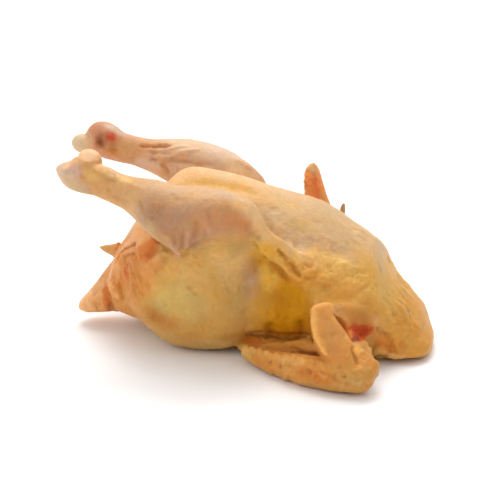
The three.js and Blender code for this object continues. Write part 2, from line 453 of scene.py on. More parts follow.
def softenJoins(piece):
    at = readPoints(piece)
    edges = readEdges(piece)
    amount = np.full(len(at), melting["everywhere"])
    for path, reach, strength in softJoins:
        away = pathDistance(at, path)[0]
        amount = np.maximum(amount, strength * np.clip(melting["edge"] - away / reach, 0, 1))
    at = relax(at, edges, np.clip(amount, 0, 1) * melting["pull"], melting["rounds"])
    at = relax(at, edges, np.full(len(at), melting["evenPull"]), melting["evenRounds"])
    writePoints(piece, at)


def restOnTable(piece):
    # flat where the bird rests
    at = readPoints(piece)
    at[:, 2] = np.maximum(at[:, 2], 0)
    writePoints(piece, at)


def skinTree(piece):
    return BVHTree.FromObject(piece, bpy.context.evaluated_depsgraph_get())


laying = {
    # how paths are laid on the skin, mm
    "perStep": 6,  # places from one named place to the next
    "search": 120,  # how far along the line of sight the nearest skin is looked for
    "searchStep": 8,
    "farthestMiss": 3.5,
    "longestJump": 12,  # past this, the path has run off its own surface
    "nearSide": -8,  # only what lies to the left of this is laid on the other side too
}
sameAcross = (
    "breast", "neckSide", "neckGold", "flank", "thigh", "vent", "tail",
    "lowerBreast", "upperBreast", "wingTan",
)
otherSide = {
    # what is also laid on the hidden side, by how its name begins, and how far it moves there
    **dict.fromkeys(sameAcross, (0, 0, 0)), "calf": (-16, 0, -4), "fold": (-14, 0, -10),
}


def shiftAcross(name):
    return next((shift for start, shift in otherSide.items() if name.startswith(start)), None)


def skinBesideSight(tree, eye, way):
    # for a place just past the outline: the skin nearest to the line of sight, if it is near enough
    steps = range(-laying["search"], laying["search"] + 1, laying["searchStep"])
    tries = [tree.find_nearest(eye + way * (view["distance"] + step)) for step in steps]
    found, _, _, miss = min(tries, key=lambda t: t[3])
    return found if miss <= laying["farthestMiss"] else None


def onSkin(tree, path, across=None):
    # the path laid on the skin, or on the other side of the bird, moved there by across
    # places of two numbers are in the camera's frame, places of three in the bird's own
    count = max(2, laying["perStep"] * (len(path) - 1))
    fine = between(path, np.linspace(0, 1, count)) if len(path) > 1 else np.asarray(path, float)
    eye = Vector(eyePlace())
    laid = []
    for place in fine:
        if len(place) == 2:
            way = Vector(sightLine(place)).normalized()
            found = tree.ray_cast(eye, way)[0]
            if found is None:
                found = skinBesideSight(tree, eye, way)
        else:
            found = tree.find_nearest(Vector(place))[0]
        if found is not None:
            laid.append(found)
    laid = np.array(laid).reshape(-1, 3)
    jumps = np.flatnonzero(np.linalg.norm(np.diff(laid, axis=0), axis=1) > laying["longestJump"])
    laid = laid[:jumps[0] + 1] if len(jumps) else laid
    if across is not None:
        laid = laid[laid[:, 1] < laying["nearSide"]] * (1, -1, 1) + across
        laid = np.array([tree.find_nearest(Vector(p))[0] for p in laid]).reshape(-1, 3)
    return laid


def closeTo(at, laid, margin):
    # the numbers of the points that may lie within the margin of a laid path
    middle = laid.mean(0)
    farthest = np.linalg.norm(laid - middle, axis=1).max() + margin
    return np.flatnonzero(np.linalg.norm(at - middle, axis=1) < farthest)


strokes = {
    # how far each reaches to the side, its height (minus is a groove), and its path, all on the near side
    "calfBulge": (9, 1.2, [(175, 205), (205, 212), (235, 212)]),
    "kneeRim": (4.4, 1.7, [(236, 202), (246, 204), (253, 211), (257, 219), (262, 227), (268, 234)]),
    "kneeHollow": (8, -2.2, [(208, 223), (226, 221), (246, 224)]),
    "kneeBreastCrease": (1.6, -2.6, [(262, 216), (267, 221), (270, 228), (274, 235)]),
    "foldRidgeUpper": (3.6, 2.0, [
        (262, 228), (267, 234), (272, 238), (280, 242), (287, 247), (295, 255), (303, 262)]),
    "foldGrooveUpper": (1.8, -2.8, [(278, 249), (281, 254), (285, 259), (291, 264), (295, 269), (300, 276)]),
    "foldRidgeLower": (2.0, 2.4, [
        (263, 252), (270, 256), (276, 259), (281, 263), (286, 268), (294, 276), (302, 283), (308, 291)]),
    "foldGrooveLower": (2.6, -3.2, [(269, 262), (274, 266), (280, 270), (284, 275), (290, 282)]),
    "foldThird": (2.4, 1.4, [(258, 262), (262, 274), (264, 288)]),
    "kneeHook": (1.5, -1.5, [(252, 241), (256, 245), (260, 249)]),
    "kneeFleck": (2.2, 1.2, [(253, 238)]),
    "thighFront": (6, 0.9, [(250, 252), (251, 264), (253, 276), (252, 290), (248, 302)]),
    "thighFrontDip": (6, -1.8, [(260, 262), (263, 278), (264, 292), (260, 306)]),
    "flankHollow": (10, -3.0, [(276, 285), (284, 300), (286, 316)]),
    "flankRidge": (4, 1.4, [(266, 262), (268, 276), (268, 290)]),
    "calfEdge": (2.0, -1.6, [(156, 240), (165, 247), (173, 252), (178, 256)]),
    "calfEdgeRight": (1.8, -1.9, [(182, 256), (190, 250), (198, 244), (211, 241), (226, 240)]),
    "calfTip": (3.4, 1.8, [(175, 247), (178, 255)]),
    "calfStrandA": (1.4, -1.3, [(184, 228), (183, 240), (181, 252)]),
    "calfStrandB": (1.8, -1.6, [(197, 216), (197, 228), (195, 240)]),
    "calfStrandC": (1.7, 1.5, [(190, 226), (189, 238), (187, 249)]),
    "calfStrandD": (1.6, -1.2, [(174, 230), (175, 242), (177, 254)]),
    "calfStrandE": (1.6, -1.0, [(206, 228), (206, 239)]),
    "calfDent": (4, -1.2, [(164, 226), (168, 236)]),
    "flankCrease": (2.4, -4.0, [(246, 334), (262, 335), (272, 336), (284, 338), (296, 337), (309, 334)]),
    "ventHollow": (6, -4.6, [(156, 243), (150, 251), (144, 257)]),
    "ventCornerCrease": (1.8, -1.8, [(152, 238), (158, 244)]),
    "ventFold": (2.6, -1.5, [(169, 256), (165, 261), (160, 267), (155, 273)]),
    "ventFoldRidge": (2.6, 2.6, [(166, 251), (158, 256), (152, 260), (145, 265)]),
    "ventSlit": (1.3, -2.6, [(121, 252), (126, 249), (131, 246), (135, 243)]),
    "ventLipUpper": (2.0, 1.6, [(117, 248), (126, 243), (136, 238)]),
    "ventLipLower": (1.8, 2.2, [(122, 255), (129, 251), (136, 248)]),
    "ventRim": (2.2, 1.1, [(137, 225), (127, 236), (118, 246), (113, 254), (109, 263), (107, 272)]),
    "ventRimDip": (1.7, -2.4, [(120, 253), (117, 259), (114, 266), (112, 275)]),
    "ventLowHollow": (5, -2.6, [(126, 268), (127, 278), (123, 288)]),
    "ventWrinkleA": (1.6, -1.0, [(121, 280), (121, 291)]),
    "ventWrinkleB": (1.6, 0.8, [(125, 277), (125, 288)]),
    "ventWrinkleC": (1.6, -1.0, [(128, 280), (129, 291)]),
    "ventWrinkleD": (1.5, -0.8, [(133, 281), (134, 291)]),
    "ventWrinkleE": (1.6, -0.9, [(137, 280), (138, 289)]),
    "tailCrease": (3.4, -3.4, [(106, 286), (108, 295), (110, 303), (112, 311)]),
    "tailFold": (2.4, 2.0, [(108, 279), (111, 286), (114, 293), (117, 302)]),
    "tailFoldBack": (2.0, -1.2, [(119, 283), (121, 293), (122, 304)]),
    "tailSide": (1.6, -1.8, [(103, 285), (97, 291), (90, 297)]),
    "tailRib": (2.0, 1.6, [(105, 274), (99, 283), (92, 290)]),
    "tailKnob": (4, 1.8, [(88, 303), (96, 303)]),
    "tailKnobDip": (1.8, -1.4, [(99, 298), (100, 307)]),
    "thighMark": (1.4, -1.5, [(186, 285), (191, 289), (197, 296)]),
    "thighDimple": (6, -2.0, [(152, 314), (160, 319), (168, 323)]),
    "thighBulge": (14, 1.4, [(180, 292), (205, 295), (228, 290)]),
    "thighDipA": (8, -0.9, [(208, 262), (206, 276)]),
    "thighDipB": (7, -0.8, [(172, 270), (162, 284)]),
    "thighDipC": (7, -0.9, [(215, 318), (200, 326)]),
    "shinLine": (1.6, -1.0, [(137, 196), (141, 203), (142, 212)]),
    "shinMark": (1.8, -0.9, [(113, 196), (120, 199), (128, 202)]),
    "shinTendon": (2.4, 1.0, [(98, 174), (112, 180), (128, 184), (145, 190)]),
    "hockNeck": (2.0, -1.8, [(94, 170), (102, 173), (110, 179), (118, 184)]),
    "hockPad": (2.2, 2.8, [(93, 166), (99, 167), (105, 170), (112, 174), (121, 179)]),
    "hockCleft": (1.7, -3.4, [(78, 160), (83, 164), (90, 165), (96, 163), (101, 162)]),
    "hockHollow": (3.6, -1.8, [(66, 170), (74, 176)]),
    "hockRidge": (2.2, 1.2, [(78, 168), (82, 178), (88, 188)]),
    "farStreakA": (1.6, -1.2, [(142, 146), (152, 147), (162, 145), (172, 145)]),
    "farStreakB": (1.8, -1.8, [(161, 163), (165, 168), (169, 174)]),
    "farStreakC": (1.8, -1.5, [(161, 161), (172, 160), (184, 162), (200, 164), (214, 165)]),
    "farStreakD": (1.6, -1.3, [(150, 152), (164, 153), (178, 156), (192, 158)]),
    "farTendonA": (2.0, 1.5, [(146, 156), (165, 157), (182, 152), (200, 150)]),
    "farTendonB": (1.8, 1.3, [(146, 149), (168, 149), (186, 146)]),
    "farHockHollow": (3.0, -3.0, [(99, 140), (103, 146)]),
    "farHockDip": (2.2, -1.8, [(83, 131), (88, 138), (90, 147)]),
    "farKnee": (3, 1.2, [(232, 158), (243, 163), (252, 170)]),
    "crestEdge": (3.4, -0.9, [(184, 182), (200, 184), (222, 186), (242, 190), (258, 196)]),
    "crestRidge": (4, 1.0, [(176, 172), (196, 170), (220, 172), (245, 178), (268, 187)]),
    "breastDent": (2.6, -0.8, [(274, 207), (275, 213)]),
    "breastRidge": (4, 1.2, [(300, 250), (318, 257), (338, 262), (356, 270)]),
    "breastDip": (5, -1.2, [(310, 284), (330, 292), (350, 294)]),
    "wingRidgeOuter": (2.2, 1.6, [(315, 306), (313, 318), (314, 328), (317, 338), (321, 347), (325, 355)]),
    "wingRidgeInner": (1.8, 1.8, [(327, 303), (330, 312), (334, 320), (341, 330), (347, 339), (352, 347)]),
    "wingFace": (5, -1.6, [(320, 314), (325, 328), (333, 343), (342, 358)]),
    "wingTop": (2.0, 1.4, [(313, 304), (319, 303), (326, 302)]),
    "wingPitA": (1.8, -0.9, [(333, 334)]),
    "wingPitB": (1.6, -0.7, [(327, 316)]),
    "webCrease": (1.6, -2.6, [(352, 347), (354, 354), (358, 365)]),
    "webTop": (2.4, 0.9, [(357, 348), (362, 345), (367, 343)]),
    "webRidge": (2.2, 1.5, [(368, 348), (373, 356), (377, 365), (377, 374)]),
    "wingBodyCrease": (1.8, -3.2, [(333, 313), (337, 318), (342, 324), (347, 333), (352, 341)]),
    "handCreaseA": (1.6, -1.8, [(308, 369), (310, 374)]),
    "handCreaseB": (1.5, -1.9, [(320, 368), (324, 373), (331, 377), (338, 382)]),
    "handCreaseC": (1.6, -1.7, [(269, 361), (271, 365)]),
    "handCreaseD": (1.6, -1.6, [(278, 364), (280, 368)]),
    "handCreaseE": (1.5, -1.4, [(334, 373), (336, 376)]),
    "handRidge": (2.2, 1.3, [(243, 349), (256, 352), (268, 355), (282, 357), (300, 360), (320, 362)]),
    "handDip": (2.8, -1.3, [(256, 359), (280, 366), (300, 371), (330, 378)]),
    "handKeel": (3.0, 1.0, [(262, 370), (290, 381), (320, 388), (350, 391)]),
    "handTipKnob": (3.0, 1.4, [(246, 351)]),
    "wristWrinkleA": (1.6, -1.3, [(342, 376), (352, 380), (362, 380)]),
    "wristWrinkleB": (1.6, -1.1, [(348, 384), (358, 387), (368, 385)]),
    "looseSkinCrease": (1.6, -2.0, [(291, 348), (298, 351), (306, 353), (314, 355), (320, 356)]),
    "looseSkinRidge": (2.6, 1.2, [(251, 343), (264, 345), (278, 346), (290, 344), (304, 342), (312, 341)]),
    "fleshPit": (4.0, -2.6, [(355, 331), (362, 332), (368, 330)]),
    "fleshGrain": (1.4, 1.0, [(355, 329), (360, 336)]),
    "neckLobe": (3.4, -1.5, [(384, 341), (389, 346), (393, 351)]),
    "neckLobeCrease": (2.4, -2.2, [(376, 326), (382, 331), (388, 337), (393, 342)]),
    "neckRoll": (2.4, 2.4, [(386, 354), (396, 356), (408, 355), (420, 354)]),
    "neckUnder": (2.4, -3.0, [(376, 358), (384, 358)]),
    "neckPleatA": (2.6, 1.4, [(392, 300), (404, 312), (410, 326)]),
    "neckPleatB": (2.0, -0.9, [(398, 292), (410, 306), (416, 322)]),
    "neckPleatC": (2.0, -0.8, [(382, 296), (394, 312), (398, 326)]),
    "neckPleatD": (2.4, 1.2, [(412, 318), (418, 332), (420, 346)]),
    "breastPores": (1.8, -0.7, [(346, 241), (348, 250), (349, 257)]),
    "neckSmudge": (1.7, -0.7, [(378, 262), (380, 270)]),
    "neckNotch": (3.0, -1.6, [(388, 256), (391, 264)]),
    "neckTopDip": (6, -2.2, [(396, 274), (403, 282), (410, 291)]),
    "ventSlitLower": (1.2, -1.7, [(124, 257), (131, 254), (137, 252)]),
    "ventDint": (2.0, -1.6, [(132, 290), (137, 294)]),
    "kneeDint": (2.2, -0.9, [(258, 237), (261, 240)]),
    "flankNotchA": (3.2, -1.4, [(270, 322), (270, 328), (271, 334)]),
    "flankNotchB": (3.2, -1.4, [(300, 320), (301, 327), (301, 334)]),
    "webHollow": (3.0, -0.9, [(361, 352), (366, 362), (370, 372)]),
    "looseSkinNickA": (1.3, -1.4, [(264, 341), (266, 349)]),
    "looseSkinNickB": (1.3, -1.2, [(283, 341), (286, 350)]),
    "neckLobeFill": (7, 3.0, [(372, 349), (380, 351), (387, 353)]),
    "neckLobeRight": (2.8, -1.1, [(400, 342), (405, 347)]),
    "neckLobeRidge": (2.0, 1.8, [(376, 346), (384, 351), (392, 354)]),
    "neckLobeBar": (1.8, 1.0, [(394, 338), (396, 345), (399, 351)]),
    "neckDot": (1.5, -1.0, [(408, 308), (409, 313)]),
    "neckLine": (1.3, -1.2, [(409, 316), (410, 327)]),
    "breastRidgeA": (1.7, 1.8, [(301, 273), (309, 271), (318, 266)]),
    "breastGrooveA": (1.7, -1.8, [(304, 279), (312, 277), (322, 271)]),
    "breastRidgeB": (2.0, 1.4, [(318, 283), (330, 277), (342, 268)]),
    "breastGrooveB": (2.0, -1.4, [(322, 290), (335, 284), (348, 275)]),
    "breastRidgeC": (2.0, 1.3, [(334, 296), (348, 288), (360, 279)]),
    "breastGrooveC": (2.0, -1.3, [(346, 300), (358, 293), (370, 284)]),
    "breastRidgeD": (1.8, 1.4, [(296, 254), (304, 256), (314, 259)]),
    "breastRidgeE": (2.0, 1.2, [(322, 262), (334, 266), (347, 264)]),
    # the hidden side, by places in the bird's frame
    "rightThighFold": (3.0, -3.0, [(14, 62, 88), (24, 60, 70), (30, 58, 48), (28, 58, 25)]),
    "rightFoldRidge": (4.0, 2.2, [(30, 60, 76), (38, 60, 64), (44, 60, 55)]),
    "rightCalfEdge": (2.2, -2.4, [(-70, 62, 92), (-50, 70, 80), (-24, 72, 80), (0, 68, 84)]),
    "ventMiddle": (3.0, -3.0, [(-98, 4, 58), (-92, 2, 68), (-84, 0, 76)]),
    "ventRingRight": (3.0, 2.0, [(-96, 14, 60), (-88, 18, 72), (-78, 16, 84)]),
    "ventTopDip": (6, -3.0, [(134, 229), (130, 233), (125, 238), (120, 243)]),
    "puckerA": (1.8, -2.4, [(-101, 8, 60), (-94, 8, 72), (-86, 8, 80)]),
    "puckerB": (2.2, 1.8, [(-101, 12, 59), (-94, 16, 68), (-86, 20, 76)]),
    "puckerC": (1.8, -2.4, [(-101, 15, 58), (-92, 23, 65), (-84, 28, 69)]),
    "puckerD": (2.4, 1.8, [(-101, 17, 54), (-93, 27, 58), (-85, 34, 60)]),
    "puckerE": (1.8, -2.2, [(-101, 18, 50), (-94, 29, 51), (-86, 37, 50)]),
    "puckerF": (2.2, 1.6, [(-101, 18, 45), (-95, 29, 43), (-87, 38, 40)]),
    "puckerG": (1.6, -2.0, [(-102, 16, 40), (-98, 26, 34), (-90, 35, 30)]),
    "rightShinLine": (1.6, -1.2, [(-98, 47, 116), (-80, 52, 110), (-62, 58, 104)]),
    "rightTendon": (2.2, 1.2, [(-98, 46, 122), (-80, 50, 118), (-60, 56, 114)]),
    "rightForearmRidge": (2.4, 1.4, [(12, 86, 18), (33, 98, 18), (52, 102, 20)]),
    "rightHandCrease": (1.6, -1.6, [(48, 98, 26), (42, 100, 36), (38, 99, 48)]),
    "rightWingFold": (2.4, -2.4, [(40, 70, 26), (58, 78, 26), (66, 84, 22)]),
}
wrinkles = {
    # fields of short wrinkles in the camera's frame: middle, half size, slant in degrees, how many, height
    "lowerBreast": ((326, 276), (40, 17), 22, 38, 0.7),
    "upperBreast": ((320, 235), (45, 16), 30, 16, 0.35),
    "neckSide": ((402, 318), (20, 28), 62, 24, 0.42),
    "thighSkin": ((202, 290), (48, 40), 40, 34, 0.45),
    "ventSkin": ((130, 270), (20, 30), 70, 26, 0.9),
    "tailSkin": ((100, 298), (14, 10), 75, 10, 0.7),
    "calfSkin": ((178, 214), (40, 18), 78, 22, 0.5),
    "shinSkin": ((112, 186), (24, 12), 30, 12, 0.5),
    "farLegSkin": ((165, 153), (45, 9), 4, 20, 0.6),
    "handSkin": ((300, 372), (48, 9), 70, 26, 0.6),
    "forearmSkin": ((328, 332), (10, 26), 65, 12, 0.4),
    "wristSkin": ((355, 378), (18, 10), 20, 12, 0.6),
    "flankSkin": ((276, 296), (14, 34), 80, 16, 0.6),
}
wrinkleWays = {
    "reach": 1.5,
    "reachSpread": (0.8, 1.4),
    "length": 10,  # in the camera's frame
    "lengthSpread": (0.5, 1.2),
    "turn": 22,  # how far one strays from the slant, degrees
    "bend": 1.5,
    "lifts": (-1.5, -1.5, 1.2),  # two grooves for each ridge
    "acrossHeight": 0.6,  # how high they stand on the hidden side, as a share of the near side
    "seed": 11,
}
bumpRows = {
    # rows of raised quill sockets: path, how many, reach and height
    "handTop": ([(246, 350), (257, 351.5), (269, 355), (282, 357), (295, 359)], 7, 2.0, 2.1),
    "handTopEnd": ([(303, 361), (322, 364)], 3, 1.8, 1.1),
    "handSide": ([(250, 357), (275, 367), (300, 374), (325, 382)], 11, 1.5, 0.9),
    "farTipBack": ([(307.5, 170), (306, 178), (307, 188)], 4, 1.6, 1.9),
    "rightHandBack": ([(50, 98, 30), (42, 98, 50), (35, 93, 74), (33, 90, 98)], 11, 1.7, 0.9),
    "rightForearm": ([(8, 84, 18), (30, 97, 16), (52, 102, 18)], 9, 1.6, 1.2),
    "wristSide": ([(336, 384), (352, 388), (366, 384), (374, 374)], 8, 1.5, 0.9),
}


def bumpStrokes():
    rows = []
    for path, count, reach, height in bumpRows.values():
        rows += [(reach, height, [tuple(p)]) for p in between(path, np.linspace(0, 1, count))]
    return rows


def wrinkleStrokes():
    ways = wrinkleWays
    picks = random.Random(ways["seed"])
    rows = []
    for name, (middle, half, slant, count, height) in wrinkles.items():
        for _ in range(count):
            turn, out = picks.uniform(0, 2 * math.pi), math.sqrt(picks.random())
            x = middle[0] + half[0] * out * math.cos(turn)
            y = middle[1] + half[1] * out * math.sin(turn)
            way = math.radians(slant + picks.uniform(-ways["turn"], ways["turn"]))
            long = ways["length"] * picks.uniform(*ways["lengthSpread"]) / 2
            bend = picks.uniform(-ways["bend"], ways["bend"])
            dx, dy = math.cos(way) * long, math.sin(way) * long
            path = [(x - dx, y - dy), (x - dy / long * bend, y + dx / long * bend), (x + dx, y + dy)]
            lift = height * picks.choice(ways["lifts"])
            reach = ways["reach"] * picks.uniform(*ways["reachSpread"])
            rows.append((reach, lift, path))
            if shiftAcross(name) is not None:
                rows.append((reach, lift * ways["acrossHeight"], path, shiftAcross(name)))
    return rows


pressing = {
    "broadFrom": 2.4,  # strokes that reach further than this go first
    "taper": 0.25,  # how much of each end thins out, as a share of the length
    "endWidth": 0.6,  # as shares of the middle's
    "endHeight": 0.2,
    "margin": 3,  # how many times its reach a stroke is worked out to
}


def fullness(share, taper):
    # from 0 at a stroke's ends to 1 past the taper
    return np.sqrt(np.clip(np.minimum(share, 1 - share) / taper, 0, 1))


def pressStrokes(piece, tree, rows):
    # presses each stroke in or out along the skin's normals
    at = readPoints(piece)
    facing = readNormals(piece)
    push = np.zeros(len(at))
    narrow, low = pressing["endWidth"], pressing["endHeight"]
    for reach, height, path, *across in rows:
        laid = onSkin(tree, path, *across)
        if not len(laid):
            continue
        near = closeTo(at, laid, reach * pressing["margin"])
        away, share, _ = pathDistance(at[near], laid)
        full = fullness(share, pressing["taper"]) if len(path) > 1 else 1
        fall = np.exp(-(away / reach / (narrow + (1 - narrow) * full)) ** 2)
        push[near] += height * fall * (low + (1 - low) * full)
    writePoints(piece, at + facing * push[:, None])


relief = {
    # uneven flesh all over: size of the lumps and their height
    "lumps": [(0.045, 0.7), (0.11, 0.35), (0.28, 0.16)],
    "apart": 100,  # where each size of lump starts, mm
}


def noiseField(at, scale, shift=0.0):
    return np.array([noise.noise(Vector(p)) for p in at * scale + shift])


def roughen(piece):
    at = readPoints(piece)
    facing = readNormals(piece)
    push = sum(noiseField(at, scale, scale * relief["apart"]) * height for scale, height in relief["lumps"])
    writePoints(piece, at + facing * push[:, None])


follicles = {
    # goose pimples: path of each tract, how far it reaches, spacing, and height in the middle
    "breastSide": ([(300, 258), (335, 270), (372, 292), (395, 320)], 13, 3.0, 0.75),
    "breastUpper": ([(290, 240), (330, 245), (365, 262)], 8, 3.8, 0.3),
    "neckSkin": ([(398, 300), (415, 330), (400, 345)], 14, 3.2, 0.60),
    "handSkin": ([(246, 352), (272, 360), (300, 368), (335, 378), (362, 382)], 9, 2.7, 0.83),
    "forearmSkin": ([(319, 308), (325, 330), (342, 358)], 8, 3.6, 0.25),
    "webSkin": ([(360, 352), (370, 368)], 8, 3.0, 0.60),
    "thighSkin": ([(165, 290), (200, 280), (235, 275)], 30, 4.4, 0.22),
    "calfSkin": ([(150, 205), (190, 210), (240, 215)], 14, 4.2, 0.18),
    "flankSkin": ([(272, 262), (275, 300)], 16, 4.4, 0.15),
    "ventSkin": ([(120, 280), (130, 250)], 16, 3.4, 0.45),
    "tailSkin": ([(90, 302), (104, 300)], 8, 2.8, 0.75),
    "farTip": ([(29, 84, 75), (29, 84, 102)], 10, 2.8, 0.90),
    "backSkin": ([(-60, 0, 0), (-15, 0, 0), (30, 0, 0), (80, 0, 0)], 55, 3.6, 0.4),
    "rightSide": ([(-40, 70, 50), (0, 60, 50), (45, 52, 55), (75, 45, 50), (100, 38, 35)], 38, 3.6, 0.5),
    "rightWingSkin": ([(20, 96, 20), (54, 100, 20)], 20, 3.0, 0.60),
}
pimples = {
    "reach": 1.25,
    "strength": (0.4, 1.2),
    "spacing": 4.0,  # outside the tracts
    "edge": 1.3,  # how far past its reach a tract still fades
    "tried": 0.35,  # share of the skin's points that are tried
    "fillBy": 6,  # how soon a tract fills up with its height
    "fullest": 0.92,
    "markBy": 3,
    "seed": 7,
}


def spreadPlaces(at, spacing, chance):
    # points spread over the skin no closer than the spacing there; chance thins them out
    picks = random.Random(pimples["seed"])
    order = [i for i in np.flatnonzero(chance > 0) if picks.random() < pimples["tried"]]
    picks.shuffle(order)
    kept, cells = [], {}
    for i in order:
        if picks.random() > chance[i]:
            continue
        p, gap = at[i], spacing[i]
        key = tuple((p // pimples["spacing"]).astype(int))
        around = (cells.get((key[0] + a, key[1] + b, key[2] + c), ())
                  for a in (-1, 0, 1) for b in (-1, 0, 1) for c in (-1, 0, 1))
        if all(math.dist(p, q) >= gap for near in around for q in near):
            cells.setdefault(key, []).append(tuple(p))
            kept.append(i)
    return kept


def raiseFollicles(piece, tree):
    at = readPoints(piece)
    facing = readNormals(piece)
    height = np.zeros(len(at))
    spacing = np.full(len(at), pimples["spacing"])
    for path, reach, gap, tall in follicles.values():
        away = pathDistance(at, onSkin(tree, path))[0]
        here = tall * np.clip(pimples["edge"] - away / reach, 0, 1)
        spacing = np.where(here > height, gap, spacing)
        height = np.maximum(height, here)
    kept = spreadPlaces(at, spacing, np.clip(height * pimples["fillBy"], 0, pimples["fullest"]))
    finder = KDTree(len(kept))
    for k, i in enumerate(kept):
        finder.insert(at[i], k)
    finder.balance()
    strength = np.random.default_rng(pimples["seed"]).uniform(*pimples["strength"], len(kept))
    found = [finder.find(p) for p in at]
    away = np.array([f[2] for f in found]) / pimples["reach"]
    which = np.array([f[1] for f in found])
    raised = strength[which] * np.exp(-away ** 2)
    writePoints(piece, at + facing * (raised * height)[:, None])
    mark = piece.data.attributes.new("follicle", "FLOAT", "POINT")
    mark.data.foreach_set("value", (raised * np.clip(height * pimples["markBy"], 0, 1)).astype(np.float32))
    print("pimples:", len(kept))


print("joining the forms")
chickenSkin = joinForms()
remesh(chickenSkin)
print("skin points:", len(chickenSkin.data.vertices))
softenJoins(chickenSkin)
print("sculpting")
seenSkin = skinTree(chickenSkin)
allStrokes = [*strokes.values()]
allStrokes += [(*row, shiftAcross(name)) for name, row in strokes.items() if shiftAcross(name) is not None]
broadStrokes = [row for row in allStrokes if row[0] > pressing["broadFrom"]]
fineStrokes = [row for row in allStrokes if row[0] <= pressing["broadFrom"]]
pressStrokes(chickenSkin, seenSkin, broadStrokes)
pressStrokes(chickenSkin, seenSkin, fineStrokes + wrinkleStrokes() + bumpStrokes())
roughen(chickenSkin)
raiseFollicles(chickenSkin, seenSkin)
restOnTable(chickenSkin)


palette = {
    # tones of the skin as the eye sees them, 0 to 255
    "crestCream": (231, 181, 128), "crestYellow": (225, 176, 106), "breastPeach": (207, 168, 120),
    "breastShade": (203, 161, 112), "breastYellow": (230, 179, 94), "breastGold": (217, 158, 74),
    # the shoulder tone is painted shade on the shoulder beside the forearm's top
    "neckGold": (212, 161, 82), "neckOrange": (206, 144, 63), "shoulderTan": (182, 122, 54),
    "flankYellow": (222, 168, 64), "flankOchre": (194, 136, 30), "flankAmber": (196, 132, 2),
    "thighTan": (198, 154, 86), "thighGreen": (202, 168, 95), "thighGold": (211, 160, 88),
    "thighPale": (212, 167, 103), "thighMauve": (191, 144, 94), "thighLow": (202, 152, 78),
    "thighRust": (184, 124, 58), "calfPale": (206, 163, 121), "calfMauve": (174, 129, 97),
    "calfRed": (198, 138, 94), "calfUnder": (200, 153, 90), "kneePale": (225, 178, 122),
    "shankTan": (206, 155, 101), "shankPale": (223, 182, 113), "hockPale": (214, 180, 150),
    "hockGrey": (190, 155, 120), "hockMauve": (203, 162, 141), "knobPeach": (247, 203, 161),
    # the pad tone is a painted highlight on the hock's pad
    "padYellow": (238, 198, 135), "farPale": (215, 180, 149), "farShade": (205, 165, 129),
    "farShank": (204, 155, 109), "farHock": (199, 140, 106), "farLobe": (212, 185, 147),
    "ventLight": (225, 165, 110), "ventDeep": (210, 128, 68), "ventOrange": (203, 128, 58),
    "ventRim": (219, 170, 120), "ventLow": (204, 139, 72), "tailLight": (226, 166, 108),
    "tailDeep": (206, 128, 70), "tagBrown": (205, 155, 92), "wingTan": (211, 146, 78),
    # the wing edge tone is a painted highlight along ridges and lit edges
    "wingEdge": (220, 160, 88), "wingShade": (196, 129, 66), "handTan": (206, 142, 68),
    "handOrange": (196, 120, 50), "wristTan": (194, 138, 68), "looseTan": (200, 138, 64),
    "handPale": (230, 176, 104), "looseOrange": (190, 114, 20), "farHand": (232, 154, 90),
    # the crease tones are painted shade, laid in grooves and folds where shadow falls
    "farHandPale": (207, 167, 112), "crease": (180, 113, 30), "deepCrease": (124, 60, 2),
    # the soft brown and rust tones are partly the skin's own marks and partly painted shade along grooves
    "softBrown": (172, 122, 72), "rust": (186, 112, 62), "redSpot": (206, 100, 66),
    "fleshRed": (184, 54, 0), "fleshOrange": (200, 116, 40), "fleshDark": (124, 34, 4),
    # the vent's dark tone and the fold's brown are painted shade in the hollows, slits, wrinkles and creases
    # of the vent and tail
    "ventDark": (192, 108, 52), "foldBrown": (182, 108, 52), "ventMid": (213, 146, 82),
    # the wing rim tone is painted light: highlights along the forearm's edge and the web's top, and light
    # laid over the shaded nook left of the neck
    "wingRim": (232, 172, 92), "brightRed": (206, 74, 40), "hockBrown": (150, 92, 54),
    # the gold brown is partly the skin's own mottling and partly painted shade in creases; the sheen tone is
    # a painted highlight
    "goldBrown": (182, 116, 42), "redTip": (220, 120, 72), "sheen": (240, 190, 138),
    "grey": (168, 147, 120), "slate": (124, 116, 116), "greenTan": (198, 170, 106),
}
